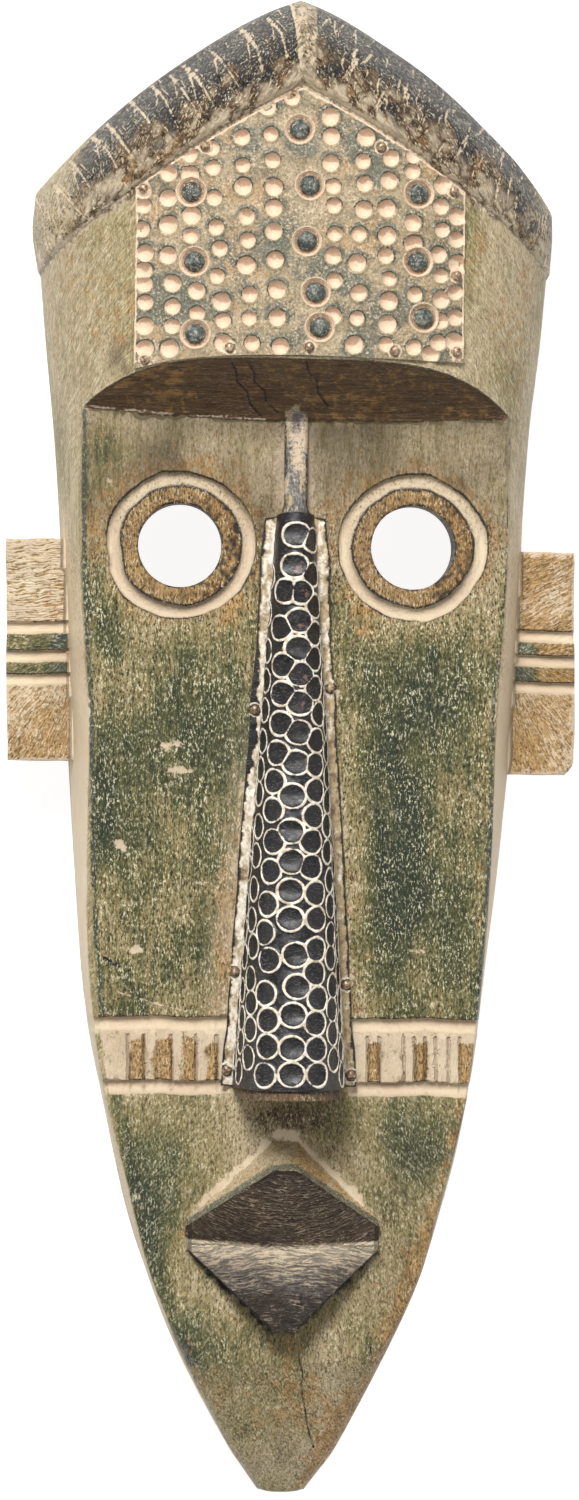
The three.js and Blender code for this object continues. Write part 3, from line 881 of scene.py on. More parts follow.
def eye_hole(cx, cy):
    bpy.ops.object.select_all(action="DESELECT")
    bpy.ops.mesh.primitive_cylinder_add(
        vertices=72, radius=EYE_HOLE_R * MM, depth=2 * CROWN * MM,
        location=(cx * MM, cy * MM, CROWN / 2 * MM),
    )
    return bpy.context.object


# Sheet metal, embossed with round punches

def lifted(surface, a, b, lift):
    """A point of a surface moved out along the surface's own normal."""
    reach = 0.3
    across = np.array(surface(a + reach, b)) - np.array(surface(a - reach, b))
    along = np.array(surface(a, b + reach)) - np.array(surface(a, b - reach))
    normal = np.cross(across, along, axis=0)
    return np.array(surface(a, b)) + lift * normal / np.linalg.norm(normal, axis=0)


def nearest(a, b, places):
    """Distance to the nearest of some places, and which one that is."""
    best = np.full(a.shape, 1e9)
    which = np.zeros(a.shape, int)
    for k, (pa, pb) in enumerate(places):
        d = np.hypot(a - pa, b - pb)
        closer = d < best
        best[closer] = d[closer]
        which[closer] = k
    return best, which


def relief_sheet(name, edge, margin, surface, emboss, area, seed):
    """A thin closed sheet over a surface. Returns the object and its points' places on the sheet."""
    sides = []
    for lift, coarse, tolerance in ((SHEET_GAP + SHEET, 2.4, 0.035), (SHEET_GAP, 3.6, 0.12)):
        def skin(a, b, lift=lift):
            return lifted(surface, a, b, lift + emboss(a, b))

        a, b, size = graded_points(area, skin, coarse, 3, tolerance, seed)
        keep = margin(a, b) > 0.5 * size + 0.1
        a, b, faces = triangulated(edge, a[keep], b[keep])
        sides.append((a, b, skin(a, b), faces))
    (a, b, front, faces), (back_a, back_b, back, back_faces) = sides
    start = len(a)
    faces += [[start + i for i in reversed(face)] for face in back_faces]
    for i in range(len(edge)):
        j = (i + 1) % len(edge)
        faces.append([i, start + i, start + j, j])
    piece = mesh_object(name, np.concatenate([front, back], axis=1).T * MM, faces)
    return piece, np.concatenate([a, back_a]), np.concatenate([b, back_b])


# The forehead sheet: columns of dents from left to right, each (x at its top, x at its bottom, heights)
DENT_COLUMNS = (
    (-51.4, -50.3, (183.2, 178.6, 170.8, 163, 157.3, 153, 147, 139.2, 131.8)),
    (-43, -41.6, (189.1, 180.9, 172.2, 162.2, 153.1, 145.5, 139.1, 131.7)),
    (-36.8, -33.7, (195, 188.3, 175.2, 168.5, 150.6, 143.1)),
    (-29, -25.2, (197.2, 190.8, 180.9, 171.3, 164.4, 155.4, 147.1, 140.9, 133.5)),
    (-19.8, -15.6, (200.8, 191.6, 184.7, 174.9, 167.2, 159, 149.5, 141.7, 133.6)),
    (-10.9, -6.8, (210.8, 201.9, 193.3, 184.6, 177.8, 170.1, 160.9, 151.1, 142, 132.6)),
    (9.6, 10.6, (207.8, 201.4, 192.7, 185.1, 178.8, 169.7, 162.4, 154.4, 142.8)),
    (20.6, 17.6, (201.4, 193.5, 186.1, 177.7, 169.7, 160.2, 150.5, 142.2, 133.5)),
    (28.3, 28, (194.7, 187.4, 178.2, 169.3, 162.8, 155.3, 148, 140.4, 133.9)),
    (36, 37.4, (195.8, 190.5, 173.8, 166.6, 150.3, 133)),
    (45.2, 45.6, (186.4, 179.5, 171.8, 163.7, 156.8, 149.1, 142.1, 134.9)),
    (50.6, 50.4, (176.4, 168.9, 160.9, 151.6, 143.4, 135.6)),
)
LOOSE_DENTS = ((-3.5, 214), (42.4, 130.9))
BOSSES = (
    (-0.9, 203.7), (2.6, 185.4), (1.8, 167.1), (4.9, 150.5), (6.4, 139.1), (-35.8, 183), (-34.6, 160.2),
    (-34, 136.6), (38.1, 183.4), (38.1, 161.2), (40.2, 142.9),
)
BOSS_R, BOSS_HEIGHT, MOAT_R, MOAT_DEPTH, MOAT_RIM = 3.3, 2.3, 4.6, 0.75, 0.9
DENT_DEPTH, DENT_BEND, DENT_SPREAD, DENT_RADII = 1.3, 1.05, 0.7, (2.5, 3.2)
DENT_RIM, DENT_RIM_AT, DENT_RIM_HALF, BOSS_RIM, BOSS_RIM_HALF = 0.3, 1.08, 0.12, 0.3, 0.4
PLATE_TACKS = (
    (-31.5, 197.9), (-51, 184.2), (-49.8, 128.2), (-22.9, 132.2), (3, 132.6), (30.7, 131.9),
    (51, 132.2), (50.8, 157.1), (49.5, 184.7), (25.7, 198.3),
)


def dents():
    """The places of the small dents and the radius of each."""
    places = list(LOOSE_DENTS)
    for top_x, low_x, heights in DENT_COLUMNS:
        for y in heights:
            share = (heights[0] - y) / (heights[0] - heights[-1])
            places.append((mix(top_x, low_x, share) + random.uniform(-DENT_SPREAD, DENT_SPREAD), y))
    return places, np.array([random.uniform(*DENT_RADII) for _ in places])


DENTS, DENT_R = dents()


def forehead_surface(x, y):
    return x, y, hull_z(x, y)


def forehead_emboss(x, y):
    """How far the forehead sheet is pressed out at a place."""
    r, which = nearest(x, y, DENTS)
    share = r / DENT_R[which]
    depth = -DENT_DEPTH * bounded(1 - share ** 2) ** DENT_BEND
    depth += DENT_RIM * line_of(share - DENT_RIM_AT, DENT_RIM_HALF)
    r, _ = nearest(x, y, BOSSES)
    near = r < MOAT_R + MOAT_RIM
    dome = BOSS_HEIGHT * np.sqrt(bounded(1 - (r / BOSS_R) ** 2)) - MOAT_DEPTH
    moat = -MOAT_DEPTH * np.sqrt(bounded(1 - ((r - BOSS_R) / (MOAT_R - BOSS_R)) ** 2))
    ring = BOSS_RIM * line_of(r - MOAT_R - 0.25, BOSS_RIM_HALF)
    boss = np.where(r < BOSS_R, dome, np.where(r < MOAT_R, moat, 0)) + ring
    depth = np.where(near, mix(boss, depth, step(r, MOAT_R + 0.1, MOAT_R + MOAT_RIM)), depth)
    r, _ = nearest(x, y, PLATE_TACKS)
    depth = mix(-0.1, depth, step(r, 1.9, 2.7))
    depth += 0.35 * step(-x, 47.4, 48.2) * step(y, 174, 186)
    return depth + 0.45 * swell(x, y, 13, 81) + 0.22 * swell(x, y, 3.1, 82)


def forehead_edge():
    pace = 1.0
    steps = np.arange(-PLATE_HALF, PLATE_HALF, pace)
    top = gable(CREST_INNER, PLATE_HALF) - PLATE_TOP_GAP
    points = [(x, plate_low(x)) for x in steps]
    points += [(PLATE_HALF, y) for y in np.arange(plate_low(PLATE_HALF), top, pace)]
    points += [(x, gable(CREST_INNER, x) - PLATE_TOP_GAP) for x in -steps]
    points += [(-PLATE_HALF, y) for y in np.arange(top, plate_low(-PLATE_HALF) + 0.5, -pace)]
    return points


def forehead_plate():
    area = ((-PLATE_HALF - 1, 124), (PLATE_HALF + 1, 220))
    return relief_sheet(
        "forehead_sheet", forehead_edge(), plate_margin, forehead_surface, forehead_emboss, area, seed=9,
    )


# The nose sheet lies over the nose's section, walked from the ridge: u is the distance from it in mm.
WALK = 0.25
WALK_U = np.arange(0, 64, WALK)
FOLD_SOFT = 7
NOSE_ROWS = np.linspace(NOSE_SHEET_LOW_Y - 4, NOSE_SHEET_TOP_Y + 4, 48)


def nose_tables():
    """At each of the nose's rows: x and z along the walk, and where the walk meets the face."""
    angle = np.linspace(math.pi / 2, 0, 400)
    across, up, foot = [], [], []
    kernel = np.hanning(FOLD_SOFT + 2)[1:-1]
    for y in NOSE_ROWS:
        power = 2 / NOSE_SQUARENESS
        x = nose_half(y) * np.maximum(np.cos(angle), 0) ** power
        z = nose_height(y) * np.maximum(np.sin(angle), 0) ** power
        walked = np.concatenate([[0], np.hypot(np.diff(x), np.diff(z)).cumsum()])
        foot.append(walked[-1])
        x, z, walked = np.append(x, x[-1] + 60), np.append(z, 0), np.append(walked, walked[-1] + 60)
        x, z = np.interp(WALK_U, walked, x), np.interp(WALK_U, walked, z)
        half = FOLD_SOFT // 2
        for line, mirrored in ((x, -1), (z, 1)):
            beyond = line[-1] + (line[-1] - line[-half - 1:-1][::-1])
            wide = np.concatenate([mirrored * line[half:0:-1], line, beyond])
            line[:] = np.convolve(wide, kernel / kernel.sum(), "valid")
        across.append(x)
        up.append(z)
    return np.array(across), np.array(up), np.array(foot)


NOSE_ACROSS, NOSE_UP, NOSE_FOOT = nose_tables()


def nose_foot(y):
    return np.interp(y, NOSE_ROWS, NOSE_FOOT)


def nose_surface(u, y):
    """The place over the nose that lies u from its ridge."""
    column = np.clip(np.abs(u) / WALK, 0, len(WALK_U) - 1.001)
    row = np.clip((y - NOSE_ROWS[0]) / (NOSE_ROWS[1] - NOSE_ROWS[0]), 0, len(NOSE_ROWS) - 1.001)
    i, j = column.astype(int), row.astype(int)
    at = i, j, column - i, row - j
    return np.sign(u) * bilinear(NOSE_ACROSS, *at), y, panel_z(y) + bilinear(NOSE_UP, *at)


def nose_side(y):
    """How far over the surface the sheet's side edge lies from the ridge; it wanders a little."""
    return nose_foot(y) + NOSE_FLANGE + 1.2 * swell(y, y * 0, 9, 91)


def nose_sheet_top(u):
    return NOSE_SHEET_TOP_Y - NOSE_TOP_SLOPE * np.abs(u)


def nose_margin(u, y):
    """How far a place over the nose lies inside the sheet's outline."""
    return np.minimum(nose_side(y) - np.abs(u), np.minimum(y - NOSE_SHEET_LOW_Y, nose_sheet_top(u) - y))


RING_R, RING_PITCH, RING_SQUEEZE = 4.05, 8.6, 0.15
RING_STAGGER, RING_SPREAD, RINGS_BESIDE = 4.6, 0.8, 5
BOWL_DEPTH, RING_HEIGHT, RING_HALF, DIMPLE = 0.8, 0.42, 0.45, 0.16
# Places seen from the front, (x, y) each, down the ridge and down both sides of it
MIDDLE_RINGS = (
    (0.2, 71.8), (-0.3, 61.6), (2.1, 52.9), (1.4, 43.4), (1.1, 34.3), (1.9, 25.8), (1.7, 16.3),
    (1.4, 6.6), (0.5, -3.3), (-0.6, -14.2), (-0.9, -25.8), (-0.7, -35.7), (-1, -45.3), (-0.9, -54.4),
    (0.9, -66.1), (1.4, -76.4), (0.1, -85.7), (-0.1, -96.5), (-0.2, -105),
)
LEFT_RINGS = (
    (-3.4, 53.2), (-4.9, 41), (-4.1, 28.7), (-4.3, 19.4), (-4.7, 9.5), (-5.6, -0.2), (-6.6, -9.5),
    (-7, -18.9), (-6.6, -29.2), (-7.5, -38.9), (-8.3, -49.7), (-9.1, -59), (-7.7, -67.9),
    (-8.8, -78.8), (-8, -87.4), (-8.1, -96), (-8.9, -105.4),
)
RIGHT_RINGS = (
    (5.4, 70.1), (5.6, 58.7), (6.4, 48.4), (6.5, 39.3), (6.4, 31), (6.6, 21.3), (8, 12.8), (7.2, 4),
    (7, -3.9), (7.1, -12.4), (6.6, -20.7), (5.9, -29.1), (5.8, -37.4), (7.3, -46), (7.6, -54.3),
    (7.5, -64.3), (7.2, -72), (8.3, -80.4), (7.6, -88.3), (7.9, -96.7), (8.3, -105),
)


def over_nose(x, y):
    """How far a place seen at x lies from the ridge, over the sheet's surface."""
    row = (y - NOSE_ROWS[0]) / (NOSE_ROWS[1] - NOSE_ROWS[0])
    j = int(row)
    across = mix(NOSE_ACROSS[j], NOSE_ACROSS[j + 1], row - j)
    shrunk = abs(x) * nose_half(y) / (nose_half(y) + SHEET + SHEET_GAP)
    return math.copysign(np.interp(shrunk, across, WALK_U), x)


def rings():
    """The middles of all the nose sheet's rings; those beside the ridge go on down its sides."""
    places = [(over_nose(x, y), y) for x, y in MIDDLE_RINGS]
    for seen, side in ((LEFT_RINGS, -1), (RIGHT_RINGS, 1)):
        column = [(over_nose(x, y), y) for x, y in seen]
        places += column
        for k in range(1, RINGS_BESIDE + 1):
            for u, y in column:
                u = u + side * RING_PITCH * k
                y = y + RING_STAGGER * (k % 2) + random.uniform(-RING_SPREAD, RING_SPREAD)
                if abs(u) < nose_foot(y) - 1.5 and y > NOSE_SHEET_LOW_Y + 3:
                    places.append((u, y))
    return places


RINGS = rings()


def in_ring(u, y):
    """How far a place lies inside the outline of its ring, and which ring that is."""
    r, which = nearest(u, y, RINGS)
    second = np.full(u.shape, 1e9)
    for k, (ring_u, ring_y) in enumerate(RINGS):
        d = np.where(which == k, 1e9, np.hypot(u - ring_u, y - ring_y))
        second = np.minimum(second, d)
    return np.minimum(RING_R - r, 0.5 * (second - r) + RING_SQUEEZE), which


NOSE_TACK_REACH = 3.3
NOSE_TACKS = ((-1, 14.1), (1, 21.7), (1, -76.5), (-1, -72.6), (-1, -105.3), (1, -106.6))


def nose_tack_places():
    return [(side * (nose_foot(y) + NOSE_TACK_REACH), y) for side, y in NOSE_TACKS]


def nose_emboss(u, y):
    """How far the nose sheet is pressed out at a place."""
    inside, _ = in_ring(u, y)
    on_nose = fade(np.abs(u), nose_foot(y) - 1.8, nose_foot(y) - 0.6)
    bowl = -BOWL_DEPTH * (1 - bounded(1 - (inside - 0.4) / (RING_R - 0.4)) ** 2)
    rim = RING_HEIGHT * line_of(inside, RING_HALF)
    dimple = DIMPLE * swell(u, y, 1.9, 92, 0.6)
    flange = (1 - on_nose) * (0.5 * swell(u, y, 5, 93, 2) + 0.2 * swell(u, y, 1.6, 94))
    r, _ = nearest(u, y, nose_tack_places())
    return (on_nose * (bowl + rim + dimple) + flange) * step(r, 1.8, 2.6)


def nose_edge():
    pace = 0.8
    low_half = nose_foot(NOSE_SHEET_LOW_Y) + NOSE_FLANGE
    top_half = nose_foot(NOSE_SHEET_TOP_Y) + NOSE_FLANGE
    heights = np.arange(NOSE_SHEET_LOW_Y + pace, nose_sheet_top(top_half), pace)
    points = [(u, NOSE_SHEET_LOW_Y) for u in np.arange(-low_half, low_half, pace)]
    points += [(nose_side(y), y) for y in heights]
    points += [(u, nose_sheet_top(u)) for u in np.arange(top_half - pace, -top_half + pace, -pace)]
    points += [(-nose_side(y), y) for y in heights[::-1]]
    return points


def nose_plate():
    reach = nose_foot(NOSE_SHEET_LOW_Y) + NOSE_FLANGE + 3
    area = ((-reach, NOSE_SHEET_LOW_Y - 1), (reach, NOSE_SHEET_TOP_Y + 1))
    return relief_sheet("nose_sheet", nose_edge(), nose_margin, nose_surface, nose_emboss, area, seed=10)


# Tacks

TACK_R, TACK_HEIGHT, TACK_GAP = 1.6, 1.1, 0.3


def tack(name, surface, a, b):
    """A round head that stands on a sheet."""
    a, b = np.array([a], float), np.array([b], float)
    foot = lifted(surface, a, b, SHEET_GAP + SHEET + TACK_GAP)[:, 0]
    out = lifted(surface, a, b, 1.0)[:, 0] - np.array(surface(a, b))[:, 0]
    bpy.ops.object.select_all(action="DESELECT")
    bpy.ops.mesh.primitive_uv_sphere_add(
        segments=24, ring_count=12, radius=TACK_R * MM, location=(0, 0, 0),
    )
    head = bpy.context.object
    head.name = name + "_head"
    bpy.ops.object.mode_set(mode="EDIT")
    bpy.ops.mesh.select_all(action="SELECT")
    bpy.ops.mesh.bisect(plane_co=(0, 0, 0), plane_no=(0, 0, 1), use_fill=True, clear_inner=True)
    bpy.ops.mesh.select_all(action="SELECT")
    bpy.ops.transform.resize(value=(1, 1, TACK_HEIGHT / TACK_R))
    bpy.ops.object.mode_set(mode="OBJECT")
    head.rotation_euler = Vector(out).to_track_quat("Z", "Y").to_euler()
    head.location = Vector(foot) * MM
    bpy.ops.object.transform_apply(location=True, rotation=True, scale=True)
    bpy.ops.object.shade_smooth_by_angle(angle=math.radians(40), keep_sharp_edges=False)
    return head


# Paint on the body, with painted light and shade among it: how much of each paint lies at each place, from
# 0 to 1

# The dark wash layer holds real dark paint and also painted shade; the pale layer holds pale washes and
# also painted highlights.
PAINTS = (
    "green", "brown", "ochre", "cream", "black", "teal", "slate", "speck", "rough", "rub", "pale", "umber_and_shade",
)
# Where the bands' ochre blocks start and end, from left to right
OCHRE_BLOCKS = (
    (-53, -47.6), (-44.7, -38.6), (-35.8, -30.6), (-27.5, -23.3), (26, 30.5), (41.5, 46), (56.2, 61.2),
)
PALE_PATCHES = (
    ((-25.5, -182), (8, 7)), ((-52, 30), (14, 12)), ((20, 95), (12, 8)), ((-56, 95), (12, 10)),
    ((50, -140), (8, 6)),
)


class Coat:
    """Layers of paint on a set of points, each from 0 to 1."""

    def __init__(self, like):
        self.layers = {name: np.zeros(like.shape) for name in PAINTS}

    def add(self, name, amount):
        self.layers[name] += amount

    def cover(self, name, amount):
        self.layers[name] = np.maximum(self.layers[name], amount)

    def clear(self, amount, *names):
        for name in names or PAINTS:
            self.layers[name] *= 1 - amount

    def add_areas(self, name, where, x, y, areas, soft):
        """Adds a paint in ellipses, each (middle, half width and half height, amount)."""
        for place, radii, amount in areas:
            self.add(name, where * amount * blot(x, y, place, radii, soft))

    def done(self):
        return {name: bounded(value) for name, value in self.layers.items()}


def head_reach(y, z):
    """How far the plain head reaches sideways at a height z."""
    return rim_half(y) * arch(bounded(z / crown(y)), squareness(y))


def panel_edge(y):
    """Half width of the flat face."""
    return head_reach(y, np.minimum(panel_z(y), 0.86 * crown(y)))


def in_ear(x, y, z):
    """Whether a point lies on an ear block."""
    return (np.abs(x) > head_reach(y, z) + 0.8) & (z > 13) & (z < 38) & (y > -8) & (y < 72)


def face_zones(x, y, z):
    """How far each point belongs to the panel, the bands, the chin and the brow's underside."""
    face = on_face(x, y) * step(panel_edge(y) - np.abs(x), -0.6, 0.6) * step(z, 12, 20) * ~in_ear(x, y, z)
    chin = face * fade(y, BAND_LOW - 1.5, BAND_LOW - 0.5)
    bands = face * step(y, BAND_LOW - 1.5, BAND_LOW - 0.5) * fade(y, BAND_TOP + 0.5, BAND_TOP + 1.5)
    cove = step(y, panel_top(x) - 0.8, panel_top(x)) * fade(y, brow_line(x) - 0.8, brow_line(x) + 0.2)
    cove = cove * (np.abs(x) < BROW_HALF + 1) * step(z, 40, 52)
    return face - chin - bands, bands, chin, cove


# Ellipses of paint on the flat face: (middle, half width and half height, amount)
GREEN_AREAS = (
    ((34, -30), (14, 85), 0.6), ((48, 20), (24, 50), 0.44), ((-28, 12), (22, 44), 0.42),
    ((-60, 60), (9, 60), 0.34), ((-62, -20), (7, 70), 0.2), ((58, -70), (12, 24), 0.2),
    ((-44, -60), (16, 30), 0.1), ((50, -45), (14, 40), 0.34),
)
OCHRE_AREAS = (
    ((-21, -60), (9, 60), 0.42), ((63, -45), (3.5, 32), 0.4), ((-40, 26), (26, 14), 0.12),
    ((-22, 50), (8, 26), 0.34), ((22, 50), (7, 30), 0.3), ((-48, -42), (20, 18), 0.2),
    ((-30, -84), (40, 7), 0.25), ((40, -84), (30, 7), 0.25),
)


def paint_panel(coat, x, y, panel):
    mottled = swell(x, y, 13, 71, 1.8) + 0.5 * swell(x, y, 5, 70, 1.8)
    coat.add("green", panel * (0.5 + 0.5 * mottled))
    coat.add_areas("green", panel, x, y, GREEN_AREAS, 0.9)
    coat.add_areas("ochre", panel, x, y, OCHRE_AREAS, 0.9)
    coat.add("ochre", panel * bounded(0.35 * (lumps(x, y, 9, 69, 2.4) - 0.45)))
    from_edge = panel_edge(y) - np.abs(x)
    coat.add("teal", panel * 0.75 * line_of(from_edge - 1.2, 1.1) * (x > 0) * step(-y, -60, -20))
    coat.add("teal", panel * 0.8 * line_of(from_edge - 0.8, 1.2) * (x < 0))
    coat.cover("black", panel * 0.75 * line_of(from_edge - 0.3, 0.5))
    coat.clear(panel, "speck")
    coat.cover("speck", panel * (1 - 0.5 * step(y, 56, 92)))
    coat.clear(panel * 0.8 * step(y, 40, 88), "green")
    coat.add("ochre", panel * 0.2 * step(y, 44, 84))
    coat.cover("umber_and_shade", panel * step(y, 50, 96) * bounded(0.46 + 0.3 * swell(x, y, 11, 55)))
    coat.cover("umber_and_shade", panel * 0.36 * blot(x, y, (58, 78), (14, 26), 0.8))
    coat.add("green", panel * 0.36 * blot(x, y, (-66, 96), (12, 22), 0.9))
    coat.cover("umber_and_shade", panel * 0.3 * blot(x, y, (-34, 100), (36, 9), 0.9))
    coat.add("slate", panel * 0.36 * blot(x, y, (-45, 98), (24, 14), 0.8))
    coat.cover("brown", panel * 0.34 * fade(np.abs(x) - nose_half(y), 3, 18) * step(y, -88, 20))
    beside_nose = fade(np.abs(x) - nose_half(y), 4, 16) * step(-y, -80, 60)
    coat.clear(panel * 0.6 * beside_nose, "green")
    coat.add("ochre", panel * 0.34 * beside_nose)
    rubbed = step(-x, 0, 6) * step(-y, -40, 20) * lumps(x, y, 3, 49, 4)
    coat.cover("pale", panel * 0.8 * beside_nose * rubbed)
    pale_root = fade(np.abs(x) - ridge_half(y), 1.5, 6) * step(y, 76, 82)
    coat.cover("cream", panel * 0.62 * pale_root)
    # A thin cream line just outside the nose sheet's flange: painted highlight on the wood's edge.
    past_sheet = np.abs(x) - nose_half(y) - NOSE_FLANGE
    coat.cover("cream", panel * 0.7 * line_of(past_sheet - 0.7, 0.6) * fade(y, 25, 45))


def paint_eyes(coat, x, y, face):
    for cx, cy in EYES:
        r = np.hypot(x - cx, y - cy)
        glow = fade(r, 24, 38)
        coat.clear(face * 0.6 * glow, "green")
        coat.add("ochre", face * 0.34 * glow)
        coat.add("brown", face * 0.2 * glow)
        middle = eye_groove_distance(x, y, r)
        in_groove = fade(middle, EYE_GROOVE_HALF - 0.5, EYE_GROOVE_HALF + 0.1) * face
        inside = fade(r, EYE_GROOVE_R, EYE_GROOVE_R + 0.5) * face
        ring = bounded(inside - in_groove)
        coat.clear(np.maximum(in_groove, inside))
        coat.cover("ochre", ring * 0.95)
        coat.cover("brown", ring * (0.32 + 0.4 * step(x - cx, 0, 14)))
        coat.cover("speck", inside * 0.9 + in_groove * 0.5)
        # Painted light and shade in the groove round each eye: more cream on its lower half, a dark wash
        # on its shaded side and a pale wash on its lit side.
        coat.cover("cream", in_groove * (0.55 + 0.4 * step(cy - y, -14, 14)))
        lit = (cy - y) / r * np.clip((r - EYE_GROOVE_R) / 1.6, -1, 1)
        coat.cover("umber_and_shade", in_groove * 0.44 * step(-lit, -0.1, 0.8))
        coat.cover("pale", in_groove * 0.6 * step(lit, 0.0, 0.7))
        inner_side = (r < EYE_GROOVE_R) & (face > 0.5)
        coat.cover("black", line_of(middle - EYE_GROOVE_HALF + 0.1, 0.75) * inner_side)
        uneven = 0.6 + 0.7 * (lumps(x, y, 7, 68) - 0.3)
        outer_line = line_of(middle - EYE_GROOVE_HALF, 0.5) * (~inner_side) * (r < 27)
        coat.cover("black", uneven * outer_line * face)
        flecked = step(lumps(x, y, 1.3, 72), 0.5, 0.75) * (0.3 + 0.45 * step(x - cx, 0, 14))
        coat.cover("umber_and_shade", ring * np.maximum(1.3 * flecked, 0.14))
        on_left = ring * step(cx - x, 8, 20)
        coat.cover("umber_and_shade", 0.5 * on_left * lumps(x, y, 2, 48))
        # The wall of each eye hole painted dark brown and black: painted shade inside the hole.
        shaded_bore = fade(r, EYE_HOLE_R + 0.2, EYE_HOLE_R + 1.1) * face
        coat.cover("brown", shaded_bore)
        coat.cover("black", shaded_bore * (0.35 + 0.5 * lumps(x, y, 4, 58)))


def paint_bands(coat, x, y, bands, face):
    free = step(np.abs(x) - nose_half(y), 1, 3)
    field = bands * free
    coat.clear(field, "green")
    coat.cover("cream", field * (0.74 + 0.7 * swell(x, y, 2.2, 73)))
    for start, end in OCHRE_BLOCKS:
        ragged = 2.5 * swell(x, y, 2.2, 74)
        block = step(x, start, start + 0.4) * fade(x, end - 0.4, end) * fade(y + ragged, -96, -95)
        edges = np.maximum(line_of(x - start + 0.5, 0.45), line_of(x - end - 0.5, 0.45))
        coat.cover("cream", field * 0.95 * edges)
        coat.clear(field * block, "cream", "green")
        coat.cover("ochre", field * block)
        coat.cover("brown", field * block * (0.1 + 0.6 * swell(x, y, 1.6, 56)))
        coat.cover("umber_and_shade", field * block * 0.6 * line_of(x - start - 0.2, 0.4))
        coat.cover("umber_and_shade", field * 0.5 * line_of(x - end + 0.2, 0.4) * (y < -95))
    cuts = marks(x, y, BAND_CUTS)
    coat.cover("brown", field * 0.9 * cuts)
    coat.cover("umber_and_shade", field * 0.6 * cuts)
    beside_cuts = bounded(1.2 * marks(x - 0.9, y, BAND_CUTS))
    coat.cover("cream", field * beside_cuts * (coat.layers["ochre"] < 0.5))
    coat.cover("speck", field * 0.85)
    for line in (BAND_TOP, BAND_LOW):
        middle = band_groove_distance(x, y, line)
        near = face * free * step(panel_edge(y) - np.abs(x), -3.5, -2.5)
        in_groove = fade(middle, BAND_GROOVE_HALF - 0.4, BAND_GROOVE_HALF + 0.2) * near
        coat.clear(in_groove, "green", "ochre", "brown", "speck", "teal")
        coat.cover("cream", in_groove * 0.95)
        # Painted shade on each groove's upper, downward-facing wall and painted highlight on its lower
        # wall; the black line along its top edge is painted shade too.
        from_line = y - line + 1.2 * swell(x, y * 0, 11, 5)
        coat.cover("umber_and_shade", in_groove * 0.42 * step(from_line, 0.0, 1.9))
        coat.cover("pale", in_groove * 0.5 * step(-from_line, 0.0, 1.6))
        over = band_groove_distance(x, y, line + BAND_GROOVE_HALF + 0.1)
        coat.cover("black", 0.75 * line_of(over, 0.4) * near)


CHIN_GREEN = (((-45, -138), (16, 34), 0.46), ((42, -128), (18, 22), 0.5), ((-30, -190), (9, 22), 0.2))
# Brown patches on the chin; the first, just under the nose, is the nose's painted shadow.
CHIN_BROWN_AND_SHADOW = (
    ((0, -121), (34, 12), 0.6), ((-28, -146), (16, 14), 0.42), ((30, -152), (20, 24), 0.42),
    ((14, -200), (18, 16), 0.36), ((0, -232), (16, 16), 0.46),
)


def paint_chin(coat, x, y, chin):
    coat.add("green", chin * (0.3 + 0.5 * swell(x, y, 15, 75) - 0.2 * step(-y, 195, 225)))
    coat.add("ochre", chin * 0.34 * step(-y, 130, 170) * lumps(x, y, 18, 46))
    from_edge = panel_edge(y) - np.abs(x)
    coat.add_areas("green", chin, x, y, CHIN_GREEN, 0.8)
    coat.add_areas("brown", chin, x, y, CHIN_BROWN_AND_SHADOW, 0.9)
    coat.add("green", chin * 0.4 * line_of(from_edge - 2, 4) * (x < 0) * step(y, -215, -195))
    coat.add("ochre", chin * 0.5 * line_of(from_edge - 2.5, 3.5) * step(x, 0, 10))
    warm = 0.3 * blot(x, y, (10, -222), (26, 30), 0.9) + 0.4 * (lumps(x, y, 8, 66) - 0.4)
    coat.add("ochre", chin * bounded(warm))
    coat.cover("black", chin * 0.6 * line_of(from_edge - 0.2, 0.5))
    coat.cover("umber_and_shade", chin * 0.18 * step(x, 8, 36) * step(-y, 118, 130))
    coat.cover("speck", chin * 0.8)
    coat.clear(chin, "rub")
    coat.cover("rub", chin * 0.34)


